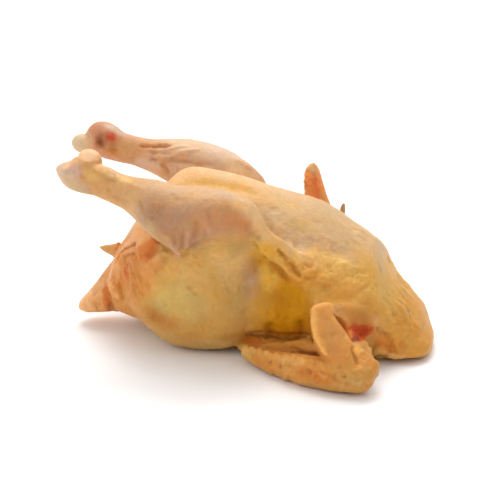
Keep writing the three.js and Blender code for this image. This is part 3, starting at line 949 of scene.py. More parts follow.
grounds = [
    # the underpainting: tone, reach and middle of each broad area, in the bird's frame
    ("crestCream", 26, (-40, 0, 118)), ("crestCream", 22, (0, 0, 113)), ("breastPeach", 30, (45, 0, 96)),
    ("breastPeach", 26, (70, 0, 78)), ("breastYellow", 20, (50, -50, 66)),
    ("breastYellow", 20, (50, 50, 66)), ("neckGold", 24, (98, 0, 45)), ("neckOrange", 20, (116, -15, 25)),
    ("neckOrange", 20, (116, 20, 25)), ("flankAmber", 14, (34, -54, 38)), ("flankOchre", 14, (26, 54, 42)),
    ("thighTan", 30, (-30, -62, 45)), ("thighTan", 34, (-45, 62, 45)), ("thighGreen", 16, (-66, 66, 40)),
    ("thighGold", 20, (-50, 58, 72)), ("thighMauve", 12, (4, 62, 45)), ("thighLow", 22, (-30, 60, 18)),
    ("ventOrange", 18, (-76, -48, 46)), ("ventOrange", 20, (-84, 38, 45)), ("ventLight", 22, (-84, 0, 76)),
    ("ventDeep", 14, (-92, 0, 56)), ("ventOrange", 18, (-94, -22, 40)), ("tailLight", 18, (-118, -4, 14)),
    ("tailDeep", 12, (-104, 18, 24)), ("calfPale", 18, (-40, -60, 116)), ("calfMauve", 14, (-35, -76, 98)),
    ("shankTan", 16, (-86, -44, 113)), ("farPale", 20, (-40, 46, 124)), ("farShade", 18, (-40, 66, 100)),
    ("calfRed", 14, (-14, 66, 92)), ("farShade", 14, (-50, 34, 104)), ("farShank", 14, (-84, 42, 114)),
    ("farHock", 14, (-112, 36, 126)), ("hockPale", 8, (-128, -42, 120)), ("farLobe", 8, (-134, 36, 122)),
    ("wingTan", 16, (64, -92, 34)), ("wristTan", 16, (92, -92, 14)), ("handTan", 16, (40, -84, 10)),
    ("farHand", 16, (32, 88, 84)), ("wingTan", 20, (50, 92, 22)), ("neckGold", 40, (30, 0, 0)),
    ("thighLow", 30, (-50, 0, 4)),
]
washes = {
    # broad colour in the order it is laid: tone, reach, path
    "crest and breast": [
        ("crestCream", 6, [(187, 172), (200, 171), (222, 174), (240, 179)]),
        ("crestYellow", 4, [(190, 183), (215, 184), (240, 188), (262, 196), (290, 205)]),
        ("breastPeach", 13, [(270, 209), (290, 220), (315, 225), (340, 222)]),
        ("breastPeach", 12, [(288, 230), (320, 238), (350, 238), (368, 248)]),
        ("breastShade", 6, [(300, 243), (320, 246), (340, 249), (356, 256)]),
        ("breastYellow", 9, [(300, 257), (320, 266), (345, 272), (360, 278)]),
        ("breastGold", 9, [(308, 277), (325, 288), (350, 293)]),
    ],
    "neck and shoulder": [
        ("neckGold", 12, [(372, 272), (385, 290), (400, 305)]),
        ("neckOrange", 12, [(395, 318), (408, 330), (418, 345)]),
        # painted shade beside the forearm's top
        ("shoulderTan", 8, [(338, 308), (352, 313), (366, 318)]),
    ],
    "flank": [
        # the amber in the flank's hollow is the skin's own yellow deepened with painted shade
        ("flankAmber", 12, [(282, 294), (284, 310), (280, 328)]),
        ("flankAmber", 8, [(296, 296), (298, 320)]),
        ("flankYellow", 7, [(264, 250), (268, 265), (268, 280)]),
        ("flankOchre", 5, [(260, 290), (261, 304)]),
    ],
    "left thigh": [
        ("thighTan", 20, [(195, 290), (225, 300)]), ("thighLow", 9, [(185, 328), (205, 332), (232, 328)]),
        ("thighGreen", 11, [(158, 294), (180, 294)]),
        ("thighGold", 10, [(152, 276), (172, 266), (200, 266)]), ("thighPale", 9, [(230, 258), (241, 264)]),
        # a painted shade strip where the thigh's front edge turns away from the light
        ("thighMauve", 5, [(250, 266), (251, 280), (250, 292)]),
        ("thighRust", 6, [(152, 314), (162, 320), (170, 324)]),
    ],
    "left drumstick": [
        ("calfPale", 10, [(150, 193), (180, 196), (210, 197), (235, 200)]),
        ("calfMauve", 11, [(152, 214), (172, 220), (186, 228)]),
        ("calfMauve", 7, [(166, 234), (178, 242), (186, 240)]),
        ("calfUnder", 6, [(208, 242), (228, 243), (244, 246)]),
        ("calfRed", 9, [(205, 222), (225, 221), (244, 223)]),
        ("kneePale", 4, [(238, 203), (248, 207), (254, 216), (260, 226), (264, 233)]),
        ("shankTan", 9, [(96, 182), (115, 187), (132, 190)]),
        ("shankPale", 3, [(104, 170), (114, 175), (128, 180)]),
    ],
    "left hock": [
        ("hockGrey", 4, [(74, 186), (84, 188)]), ("shankPale", 4, [(88, 170), (96, 174)]),
        ("hockPale", 6, [(60, 168), (67, 174)]), ("hockMauve", 3, [(75, 167), (77, 174)]),
        # the knob tone is partly the knob's own pale colour and partly painted highlight; the pad tone is a
        # painted highlight
        ("knobPeach", 6, [(83, 156), (94, 157)]), ("padYellow", 3.4, [(97, 166), (103, 167)]),
    ],
    "right drumstick": [
        ("farPale", 10, [(178, 146), (205, 149), (232, 157)]),
        ("farShade", 5, [(176, 161), (200, 164), (222, 166)]), ("farShank", 8, [(120, 148), (138, 150)]),
        ("farPale", 4, [(142, 162), (156, 168)]), ("farHock", 8, [(92, 131), (104, 132)]),
        ("farPale", 4, [(110, 127), (118, 132)]), ("farLobe", 5, [(78, 140), (84, 143)]),
    ],
    "vent and tail": [
        ("ventLight", 7, [(138, 230), (126, 242), (120, 252)]), ("ventOrange", 9, [(128, 264), (132, 278)]),
        ("ventLow", 7, [(128, 290), (144, 288)]), ("ventDeep", 7, [(152, 242), (146, 254)]),
        ("ventMid", 5, [(146, 266), (154, 262), (148, 276)]), ("ventLight", 4, [(114, 264), (110, 276)]),
        ("tailLight", 7, [(90, 300), (100, 292)]), ("tailDeep", 3.5, [(106, 292), (109, 304)]),
        ("ventLow", 7, [(124, 300), (132, 304)]), ("tagBrown", 4, [(103, 251), (108, 252)]),
    ],
    "left wing": [
        ("wingTan", 7, [(318, 312), (326, 328), (336, 346)]), ("wingShade", 5, [(334, 352), (344, 362)]),
        ("handTan", 8, [(262, 362), (290, 368), (320, 374)]), ("wristTan", 9, [(345, 378), (362, 378)]),
        ("handOrange", 3.5, [(304, 373), (314, 377), (324, 380)]),
        ("wristTan", 4, [(300, 381), (322, 388), (345, 391)]), ("wingTan", 4, [(358, 352), (366, 362)]),
        ("looseTan", 4, [(270, 344), (290, 346), (308, 344)]),
        ("looseOrange", 3.4, [(248, 341), (258, 342)]),
    ],
    "right wing": [
        ("farHand", 9, [(312, 176), (316, 190)]), ("farHandPale", 3.4, [(312, 166), (314, 172)]),
        ("farHandPale", 3, [(322, 196)]),
    ],
}
dabs = {
    # small touches in the order they are laid: tone, reach, strength, path, and how soft if not as usual
    "crest": [
        ("crestYellow", 3, 0.5, [(255, 200), (275, 206), (300, 208)]),
        ("breastYellow", 5, 0.3, [(186, 184), (205, 184), (222, 185)]),
        ("greenTan", 5, 0.35, [(298, 226), (308, 230)]), ("greenTan", 4, 0.3, [(318, 208), (330, 214)]),
    ],
    # the brown and mauve lines along the calf's grooves and its lower edge are partly painted shade
    "left drumstick": [
        ("softBrown", 2.4, 0.5, [(255, 262), (256, 272)]), ("rust", 4, 0.45, [(238, 222), (246, 226)]),
        ("softBrown", 2.2, 0.45, [(197, 216), (198, 227), (197, 238)]),
        ("softBrown", 5, 0.25, [(206, 212), (228, 210)]),
        ("hockMauve", 1.6, 0.5, [(189, 230), (188, 240), (187, 249)], 0.8),
        ("softBrown", 1.3, 0.5, [(184, 228), (184, 238), (183, 248)], 0.8),
        ("redSpot", 2.0, 0.35, [(166, 231)]), ("greenTan", 3, 0.5, [(168, 240)]),
        ("greenTan", 4, 0.5, [(148, 224), (152, 230)]),
        ("calfMauve", 3.6, 0.5, [(176, 250), (186, 245), (197, 239), (210, 236)]),
        ("hockMauve", 3.0, 0.75, [(170, 246), (178, 255)]),
        ("goldBrown", 1.5, 0.35, [(182, 257), (190, 251), (199, 245), (212, 242), (228, 241)]),
    ],
    # the gold brown in the thigh's mark and the mauve strip at its front edge are painted shade; the brown at
    # its dimple and lower edge is partly so
    "left thigh": [
        ("thighGreen", 3.6, 0.4, [(206, 248), (222, 247), (236, 247)]),
        ("greenTan", 3.4, 0.25, [(184, 225), (191, 222)]),
        ("thighRust", 3, 0.45, [(154, 314), (162, 319), (168, 323)]),
        ("thighRust", 3.4, 0.4, [(186, 334), (200, 337)]),
        ("goldBrown", 1.5, 0.6, [(186, 285), (192, 290), (198, 297)]),
        ("greenTan", 4, 0.4, [(206, 262), (208, 276)]),
        ("thighPale", 6, 0.5, [(182, 266), (192, 274), (202, 282)]),
        ("thighPale", 6, 0.5, [(222, 262), (226, 276), (230, 284)]),
        ("thighGreen", 5, 0.5, [(168, 308), (184, 314), (192, 322)]),
        ("flankOchre", 3, 0.35, [(210, 268), (214, 280)]), ("flankOchre", 3, 0.3, [(216, 296), (228, 300)]),
        ("thighRust", 4, 0.4, [(178, 336), (190, 340)]), ("goldBrown", 3.4, 0.4, [(226, 336), (232, 342)]),
        ("hockMauve", 3, 0.4, [(250, 272), (251, 283)]),
    ],
    # the crease tones in the flank's hollow and along its crease are painted shade
    "flank": [
        ("flankYellow", 4, 0.6, [(262, 262), (266, 275), (268, 288)]),
        ("flankOchre", 4, 0.5, [(254, 252), (256, 262)]), ("crease", 5, 0.5, [(276, 296), (283, 300)]),
        ("flankOchre", 4, 0.4, [(294, 300), (297, 314)]),
        ("crease", 3.2, 0.5, [(246, 333), (262, 332), (284, 334), (309, 330)]),
        ("deepCrease", 1.8, 0.9, [(246, 336), (262, 336), (272, 337), (284, 339), (296, 338), (310, 335)]),
        ("deepCrease", 3.0, 0.55, [(269, 324), (270, 330), (271, 336)]),
        ("deepCrease", 3.0, 0.5, [(300, 322), (301, 329), (301, 336)]),
        ("crease", 4.0, 0.5, [(222, 338), (238, 336)]),
    ],
    # the crease tones in the folds' grooves are painted shade, and the ridge tone on their ridges is painted
    # highlight
    "skin folds": [
        ("crease", 3.0, 0.25, [(270, 243), (276, 250)]),
        ("crease", 4, 0.35, [(256, 330), (276, 330), (300, 329)]),
        ("crease", 1.9, 0.8, [(278, 249), (281, 254), (286, 260)]),
        ("crease", 2.0, 0.8, [(290, 263), (295, 269), (301, 277)]),
        ("crease", 2.4, 0.7, [(270, 263), (280, 270), (284, 275), (290, 281)]),
        ("crease", 2.0, 0.5, [(305, 278), (312, 279), (316, 276)]),
        ("wingEdge", 1.8, 0.6, [(303, 272), (310, 271), (317, 268)]),
        ("breastPeach", 4, 0.9, [(268, 220), (275, 229), (286, 238), (300, 247)]),
        ("breastYellow", 1.8, 0.5, [(264, 252), (272, 258), (278, 261)], 0.8),
        ("wingEdge", 1.6, 0.5, [(284, 268), (292, 277), (302, 285), (307, 291)], 0.8),
        ("breastGold", 3, 0.6, [(284, 262), (292, 272)]),
    ],
    # the brown and crease tones in the creases under and beside the knee are painted shade
    "knee": [
        ("kneePale", 3.2, 0.75, [
            (246, 204), (253, 211), (258, 219), (263, 228), (271, 237), (283, 243), (290, 250)]),
        ("softBrown", 1.6, 0.6, [(262, 216), (268, 221), (271, 228), (275, 237)]),
        ("softBrown", 2.2, 0.35, [(257, 236), (261, 240)]),
        ("crease", 1.5, 0.6, [(252, 243), (256, 247), (259, 250)], 0.8),
        ("softBrown", 2, 0.5, [(248, 232), (256, 236)]),
    ],
    # the sheen on the breast's ridge is a painted highlight
    "breast": [
        ("sheen", 4, 0.5, [(300, 254), (310, 261), (318, 262)]),
        ("softBrown", 2.0, 0.5, [(293, 240), (295, 247)]),
        ("softBrown", 2.0, 0.4, [(309, 243), (310, 249)]), ("softBrown", 1.6, 0.4, [(319, 250)]),
        ("softBrown", 1.6, 0.4, [(331, 246), (333, 253)]), ("grey", 1.7, 0.5, [(348, 243), (348, 249)]),
        ("grey", 1.4, 0.5, [(349, 255)]), ("grey", 1.7, 0.5, [(379, 262), (380, 270)]),
        ("hockMauve", 4, 0.35, [(305, 240), (320, 244), (335, 248)]),
        ("hockMauve", 5, 0.25, [(285, 236), (300, 238)]), ("thighMauve", 5, 0.3, [(336, 308), (346, 316)]),
        ("shankTan", 3, 0.6, [(112, 201), (126, 205)]), ("farShade", 5, 0.7, [(240, 165), (254, 172)]),
    ],
    "bare flesh": [
        ("fleshOrange", 6, 0.7, [(350, 331), (362, 329), (374, 334)]),
        ("fleshOrange", 3.6, 0.7, [(352, 334), (362, 331), (371, 332)]),
        ("fleshRed", 2.9, 0.9, [(350, 329), (361, 330), (373, 329)], 0.7),
        ("fleshRed", 2.9, 0.9, [(353, 335), (361, 335), (370, 334)], 0.7),
        ("fleshRed", 2.4, 0.9, [(352, 340), (358, 339), (365, 339)], 0.8),
        ("fleshDark", 2.2, 0.6, [(352, 337), (356, 340), (361, 341)]),
        ("fleshDark", 1.6, 0.6, [(354, 338), (358, 336), (364, 333), (369, 330)]),
        ("fleshDark", 1.4, 0.95, [(352, 340), (356, 342)], 0.8),
        ("fleshDark", 1.3, 0.5, [(353, 331), (356, 336)]),
        ("fleshDark", 2.4, 0.75, [(353, 337), (361, 340)]),
        ("brightRed", 1.3, 0.4, [(363, 337), (369, 333)]),
        ("fleshOrange", 1.6, 0.5, [(365, 327), (371, 328)]),
        # painted shade in the crease between wing and body
        ("crease", 1.6, 0.9, [(333, 314), (337, 319), (342, 325)], 0.7),
        ("fleshOrange", 2.0, 0.7, [(343, 326), (347, 333)]),
    ],
    # in the neck: the crease tones and the dark gap under the neck are painted shade, the gold brown in the
    # lobe crease partly so, and the rim tone is painted light over the shaded nook left of the neck
    "neck": [
        ("wingRim", 6, 0.7, [(371, 346), (377, 350), (384, 353)]),
        ("wingTan", 4, 0.6, [(370, 338), (380, 340)]),
        ("fleshOrange", 3.4, 0.9, [(379, 343), (386, 345), (391, 349)]),
        ("fleshOrange", 2.8, 0.6, [(400, 343), (404, 347)]),
        ("goldBrown", 2.4, 0.85, [(376, 328), (382, 332), (388, 338), (392, 343)]),
        ("deepCrease", 1.6, 0.9, [(375, 357), (381, 356), (386, 357)], 0.8),
        ("crease", 1.6, 0.7, [(388, 352), (398, 353)], 0.8),
        ("kneePale", 1.6, 0.6, [(388, 355), (397, 356), (407, 356)], 0.8),
        ("kneePale", 4, 0.45, [(376, 321), (382, 328)]),
        ("thighGreen", 6, 0.45, [(374, 288), (384, 297), (394, 310)]),
        ("greenTan", 5, 0.35, [(388, 318), (394, 328)]), ("goldBrown", 4.4, 0.35, [(364, 304), (374, 311)]),
        ("goldBrown", 3.0, 0.3, [(394, 316), (400, 324)]), ("redTip", 5, 0.3, [(394, 276), (403, 287)]),
        ("redTip", 5, 0.25, [(410, 299), (416, 307)]), ("neckGold", 4, 0.4, [(404, 330), (410, 340)]),
        ("softBrown", 1.3, 0.6, [(408, 309), (409, 318)], 0.8),
        ("softBrown", 1.4, 0.5, [(381, 265), (381, 273)]), ("hockPale", 1.6, 0.6, [(381, 250), (384, 254)]),
        ("flankYellow", 1.8, 0.8, [(425, 327), (426, 331)], 0.8),
    ],
    # the rim and ridge tones and the sheen along the forearm's edges and the web's top are painted highlight;
    # the crease tone in the web's crease is painted shade
    "forearm and web": [
        ("wingRim", 2.6, 0.9, [(314, 306), (313, 318), (313, 328), (316, 338), (320, 347), (324, 354)], 0.8),
        ("sheen", 2.0, 0.6, [(314, 305), (320, 304)]),
        ("wingEdge", 1.5, 0.8, [(331, 315), (337, 323), (343, 332), (350, 343)], 0.7),
        ("wingRim", 2.6, 0.9, [(354, 350), (358, 351), (361, 350)], 0.8),
        ("wingRim", 1.4, 0.6, [(365, 343), (368, 347), (371, 353)], 0.8),
        ("wingShade", 2.4, 0.4, [(369, 352), (373, 360), (376, 370)]),
        ("crease", 1.3, 0.6, [(351, 348), (355, 357), (358, 366)], 0.8),
    ],
    # the rust tones in the hand's creases are painted shade; the ridge tone along its upper edge and its
    # ridge is painted highlight
    "hand": [
        ("handOrange", 3.6, 0.8, [(301, 373), (314, 376), (326, 380)], 0.8),
        ("handOrange", 3.0, 0.4, [(256, 361), (266, 367), (274, 370)]),
        ("rust", 1.5, 0.9, [(308, 369), (310, 374)], 0.7),
        ("rust", 1.2, 0.8, [(320, 369), (324, 373)], 0.8),
        ("rust", 1.4, 0.7, [(334, 379), (338, 382)], 0.8),
        ("wingEdge", 1.3, 0.7, [(319, 373), (327, 378)], 0.8), ("rust", 1.5, 0.8, [(270, 363)], 0.7),
        ("rust", 1.6, 0.7, [(279, 366)], 0.8), ("handPale", 3.0, 0.3, [(282, 361), (300, 364)]),
        ("wingEdge", 2.0, 0.6, [(245, 349), (256, 351), (266, 354), (280, 357), (300, 361)]),
        ("greenTan", 3, 0.4, [(350, 379), (358, 383)]),
    ],
    # the deep crease tones are painted shade in the crease below the loose skin
    "loose skin": [
        ("fleshOrange", 2.8, 0.9, [(249, 343), (256, 343), (263, 343)], 0.7),
        ("rust", 1.8, 0.6, [(254, 344), (260, 343)]),
        ("looseTan", 3.4, 0.9, [(268, 345), (284, 346), (298, 344), (312, 343)], 0.8),
        ("deepCrease", 1.3, 0.8, [(293, 350), (299, 352), (307, 354), (314, 355), (320, 356)], 0.8),
        ("deepCrease", 1.6, 0.6, [(311, 351), (317, 354)]),
    ],
    # the pale dabs on the quill bumps are partly their own colour and partly painted highlight
    "hand bumps": [
        ("handPale", 2.0, 0.7, [(247, 350)], 0.8), ("handPale", 1.8, 0.8, [(255, 351)], 0.8),
        ("handPale", 1.7, 0.8, [(265, 353)], 0.8), ("handPale", 1.8, 0.8, [(302, 361)], 0.8),
        ("handPale", 1.6, 0.6, [(283, 359)], 0.8),
    ],
    # the deep and dark vent tones and the fold tone in the hollow, slits and wrinkles are mostly painted
    # shade; the pale tones along the lips and fold ridges are partly painted highlight
    "vent": [
        ("ventDeep", 4, 0.8, [(153, 242), (150, 250), (143, 257)], 0.8),
        ("ventDark", 2.6, 0.7, [(154, 240), (159, 245)]), ("ventDark", 2.4, 0.6, [(144, 254), (140, 258)]),
        ("tailLight", 2.6, 0.7, [(137, 239), (128, 244), (121, 250)]),
        ("tailLight", 1.4, 0.7, [(123, 254), (129, 251), (135, 249)], 0.8),
        ("foldBrown", 1.3, 0.9, [(120, 252), (127, 249), (131, 246), (135, 242)], 0.8),
        ("foldBrown", 1.2, 0.6, [(128, 254), (136, 252)]),
        ("ventRim", 2.2, 0.8, [(138, 224), (127, 236), (117, 247), (112, 256), (108, 265)], 0.7),
        ("ventRim", 1.8, 0.7, [(143, 228), (150, 233), (158, 240), (166, 246)], 0.8),
        ("ventDark", 3.6, 0.8, [(126, 268), (128, 279)]), ("redSpot", 1.8, 0.5, [(125, 273)]),
        ("ventDark", 1.0, 0.6, [(121, 281), (121, 290)], 0.8),
        ("ventDark", 1.0, 0.6, [(129, 281), (129, 289)], 0.8),
        ("ventDark", 1.0, 0.5, [(133, 283), (134, 290)], 0.8),
        ("ventDark", 1.2, 0.5, [(137, 282), (138, 288)], 0.8),
        ("ventDark", 2.2, 0.5, [(118, 286), (122, 288)]),
        ("tailLight", 2.0, 0.7, [(158, 256), (152, 260)], 0.8),
        ("foldBrown", 2.2, 0.45, [(168, 257), (163, 263), (157, 271)]),
        ("tailLight", 2.6, 0.7, [(115, 262), (118, 271), (118, 282)]),
        ("thighMauve", 3.0, 0.6, [(163, 236), (168, 243)]),
    ],
    # painted shade in the tail's crease, and a painted highlight along its fold
    "tail": [
        ("ventDark", 3.2, 0.65, [(106, 288), (108, 297), (109, 303), (113, 310)]),
        ("rust", 1.4, 0.7, [(106, 311), (120, 311)], 0.8),
        ("tailLight", 2.0, 0.9, [(109, 281), (112, 287), (115, 294), (118, 301)], 0.7),
        ("ventRim", 1.7, 0.6, [(105, 274), (100, 282), (94, 289)], 0.8),
        ("handOrange", 3.0, 0.3, [(88, 303), (96, 303)]),
        ("tagBrown", 5, 0.9, [(102, 249), (106, 251), (109, 252)]),
        ("softBrown", 1.8, 0.6, [(104, 252), (107, 255)]),
    ],
    # the sheen along the knob and the pad is painted highlight, and the bright knob tone partly so
    "left hock": [
        ("sheen", 2.6, 0.5, [(84, 154), (92, 155), (98, 157)]),
        ("knobPeach", 2.6, 0.8, [(84, 157), (92, 158), (98, 157)], 0.8),
        ("sheen", 2.2, 0.9, [(93, 165), (101, 167), (106, 170), (112, 174), (120, 178)], 0.8),
        ("shankTan", 3.0, 0.7, [(84, 167), (92, 170), (100, 176)], 0.8),
        ("thighRust", 1.5, 0.5, [(79, 177), (85, 180)]),
        ("thighMauve", 5, 0.5, [(98, 192), (112, 197), (124, 203)]),
        ("hockMauve", 2.4, 0.8, [(76, 167), (78, 174)], 0.8),
        ("knobPeach", 1.8, 0.6, [(62, 166), (70, 167)]), ("greenTan", 3.0, 0.5, [(66, 180), (76, 190)]),
        ("slate", 1.5, 0.9, [(68, 160), (72, 160)], 0.7), ("slate", 1.1, 0.5, [(108, 168)], 0.8),
    ],
    # the brown and rust lines along the shin's grooves are partly painted shade
    "left shank": [
        ("ventLight", 3, 0.4, [(122, 184), (134, 185)]), ("rust", 1.5, 0.45, [(114, 197), (121, 200)]),
        ("greenTan", 2.4, 0.5, [(130, 200)]), ("softBrown", 1.4, 0.5, [(138, 198), (141, 206), (142, 214)]),
    ],
    "right hock": [
        ("slate", 1.7, 0.9, [(86, 129), (90, 126)], 0.7),
        ("brightRed", 3.2, 0.9, [(109, 137), (112, 138)], 0.8),
        ("hockBrown", 3.0, 0.9, [(99, 139), (102, 145)], 0.8),
        ("hockBrown", 1.8, 0.6, [(105, 135), (106, 144)]),
        ("softBrown", 3.0, 0.5, [(106, 146), (112, 145)]),
        ("goldBrown", 2.0, 0.8, [(108, 150), (118, 150)], 0.8), ("redSpot", 1.2, 0.6, [(115, 153)]),
        ("rust", 4.0, 0.3, [(97, 130), (101, 134)]), ("greenTan", 2.0, 0.5, [(91, 137)]),
    ],
    # the rust lines along the far leg's grooves and the brown shade above the crest's edge are painted shade
    "right drumstick": [
        ("rust", 1.8, 0.7, [(140, 145), (150, 147), (160, 146), (172, 145)]),
        ("hockMauve", 3, 0.5, [(146, 152), (152, 156)]),
        ("rust", 1.8, 0.5, [(161, 163), (166, 169), (169, 175)]),
        ("rust", 2.0, 0.5, [(162, 162), (174, 161), (190, 164), (205, 166)]),
        ("handTan", 3, 0.4, [(150, 168), (164, 174)]), ("redSpot", 1.5, 0.5, [(248, 167)]),
        ("redSpot", 1.3, 0.3, [(219, 153)]),
    ],
    "wing tips behind": [
        ("grey", 2.4, 0.9, [(344, 204), (344, 212)], 0.8),
        ("redTip", 3.4, 0.8, [(314, 177), (315, 186), (319, 196)]),
        ("brightRed", 1.6, 0.5, [(316, 178), (315, 182)]),
        ("softBrown", 1.4, 0.6, [(305, 181), (305, 192)]), ("grey", 1.4, 0.5, [(313, 165), (317, 169)]),
    ],
    # painted shade in the puckers' grooves, and a painted highlight on one of their ridges
    "hidden vent": [
        ("ventDark", 1.8, 0.6, [(-101, 8, 60), (-94, 8, 72), (-88, 8, 78)]),
        ("ventDark", 1.8, 0.6, [(-101, 15, 58), (-92, 23, 65), (-86, 27, 68)]),
        ("ventDark", 1.8, 0.6, [(-101, 18, 50), (-94, 29, 51), (-88, 35, 50)]),
        ("ventDark", 1.8, 0.5, [(-102, 16, 40), (-98, 26, 34), (-92, 33, 31)]),
        ("tailLight", 2.2, 0.6, [(-101, 17, 54), (-93, 27, 58), (-87, 33, 60)]),
    ],
    # painted shade in the hidden thigh's fold and along its calf's lower edge
    "hidden thigh": [
        ("crease", 2.6, 0.8, [(14, 62, 88), (24, 60, 70), (30, 58, 48), (28, 58, 25)]),
        ("softBrown", 2.4, 0.5, [(-60, 66, 84), (-40, 70, 80), (-16, 70, 82)]),
        ("softBrown", 2.0, 0.5, [(-40, 58, 108), (-30, 62, 96)]),
        ("calfRed", 6.0, 0.6, [(-22, 66, 100), (-4, 64, 92)]),
    ],
    "hidden wing": [
        ("handOrange", 4.0, 0.5, [(50, 100, 24), (42, 99, 40), (38, 97, 60)]),
        ("handPale", 2.2, 0.6, [(24, 90, 62), (24, 89, 78), (26, 88, 92)]),
        ("rust", 2.0, 0.5, [(20, 92, 18), (34, 98, 18)]),
    ],
}


painting = {
    "softness": 0.9,  # how soft a dab's edge is, from 0 to 1
    "thin": 3,  # dabs that reach less than this thin out towards their ends
    "taper": 0.3,
    "endWidth": 0.4,
    "margin": 2.5,
    "broadStray": (0.06, 31.7),  # how close together the edges wander, and where each strand starts
    "fineStray": (0.35, 17.3, 5),
    "groundWander": (7, 1.2),  # how far they wander, mm
    "dabWander": (1.5, 1.5),
    "mottle": (0.05, -0.03, -0.22),  # how far the red, green and blue light stray
    "fineMottle": 0.8,
    "tip": (0.95, 0.66, 0.34),  # the light on a pimple's tip
    "tipStrength": 0.05,
}


def linear(tone):
    # a tone from 0 to 255 as the strength of light
    share = np.array(tone, float) / 255
    return np.where(share <= 0.04045, share / 12.92, ((share + 0.055) / 1.055) ** 2.4)


def layGrounds(wandered):
    # the broad areas melted into each other
    total = np.zeros((len(wandered), 3))
    weights = np.full(len(wandered), 1e-9)
    for tone, reach, middle in grounds:
        weight = np.exp(-(np.linalg.norm(wandered - middle, axis=1) / reach) ** 2) + 1e-7
        total += weight[:, None] * linear(palette[tone])
        weights += weight
    return total / weights[:, None]


def layDab(colour, at, wandered, laid, row):
    # mixes a tone into the colours near a laid path, with its edge where the points have wandered to
    tone, reach, strength, softness, straight = row
    near = closeTo(at, laid, reach * painting["margin"])
    away, share, _ = pathDistance(wandered[near], laid)
    full = 1 if straight else fullness(share, painting["taper"])
    away /= reach * (painting["endWidth"] + (1 - painting["endWidth"]) * full)
    weight = strength * np.clip((1 + softness - away) / (2 * softness), 0, 1)
    weight = (weight * weight * (3 - 2 * weight))[:, None]
    colour[near] += (linear(palette[tone]) - colour[near]) * weight


def paintSkin(piece, tree):
    at = readPoints(piece)
    scale, start = painting["broadStray"]
    stray = np.stack([noiseField(at, scale, k * start) for k in range(3)], 1)
    scale, start, offset = painting["fineStray"]
    fine = np.stack([noiseField(at, scale, k * start + offset) for k in range(3)], 1)
    far, near = painting["groundWander"]
    colour = layGrounds(at + stray * far + fine * near)
    far, near = painting["dabWander"]
    wandered = at + stray * far + fine * near
    broad = [row for region in washes.values() for row in region]
    rows = [(tone, reach, 1, path, 1) for tone, reach, path in broad]
    rows += [(tone, reach, 1, path, 1, shiftAcross(tone)) for tone, reach, path in broad
             if shiftAcross(tone) is not None]
    rows += [row for region in dabs.values() for row in region]
    for tone, reach, strength, path, *rest in rows:
        laid = onSkin(tree, path, *rest[1:])
        softness = rest[0] if rest else painting["softness"]
        if len(laid):
            straight = len(path) == 1 or reach >= painting["thin"]
            layDab(colour, at, wandered, laid, (tone, reach, strength, softness, straight))
    warm = (stray[:, 0] + fine[:, 1] * painting["fineMottle"])[:, None]
    colour *= 1 + warm * painting["mottle"]
    pimple = np.empty(len(at), np.float32)
    piece.data.attributes["follicle"].data.foreach_get("value", pimple)
    pimple = np.clip(pimple, 0, 1)[:, None]
    colour += (np.array(painting["tip"]) - colour) * pimple * painting["tipStrength"]
    layer = piece.data.color_attributes.new("skinTone", "FLOAT_COLOR", "POINT")
    withAlpha = np.concatenate([colour, np.ones((len(at), 1))], 1)
    layer.data.foreach_set("color", withAlpha.astype(np.float32).ravel())


print("painting")
paintSkin(chickenSkin, skinTree(chickenSkin))


def finishMesh(piece):
    # to metres in the frame, and few enough triangles
    writePoints(piece, toFrame(readPoints(piece)))
    piece.data.calc_loop_triangles()
    thin = piece.modifiers.new("fewer", "DECIMATE")
    thin.ratio = min(1, skin["triangles"] / len(piece.data.loop_triangles))
    applyModifiers(piece)
    piece.data.shade_smooth()


finishMesh(chickenSkin)
print("skin faces:", len(chickenSkin.data.polygons))


finish = {
    # scales count per metre, distances are metres
    "blotch": {"Scale": 90, "Detail": 6, "Roughness": 0.6},
    "speckle": {"Scale": 330, "Detail": 5, "Roughness": 0.7},
    "shadeRange": {"From Min": 0.3, "From Max": 0.7, "To Min": 0.93, "To Max": 1.07},
    "creases": {"Scale": 520, "Detail": 8, "Roughness": 0.65},
    "creaseBump": {"Strength": 0.35, "Distance": 0.0018},
    "pores": {"Scale": 420},
    "poreBump": {"Strength": 0.25, "Distance": 0.0006},
    "skin": {
        "Roughness": 0.42, "Specular IOR Level": 0.16, "Specular Tint": (1.0, 0.82, 0.5, 1),
        "Subsurface Weight": 0.3, "Subsurface Scale": 0.004, "Subsurface Radius": (1.0, 0.45, 0.2),
    },
    "floor": {"Base Color": (0.96, 0.96, 0.96, 1), "Roughness": 0.9, "Specular IOR Level": 0.1},
}


def newMaterial(name, values):
    # a material and its shader, with plain values on the shader's own sockets
    made = bpy.data.materials.new(name)
    made.use_nodes = True
    shader = made.node_tree.nodes["Principled BSDF"]
    for socket, value in values.items():
        shader.inputs[socket].default_value = value
    return made, shader


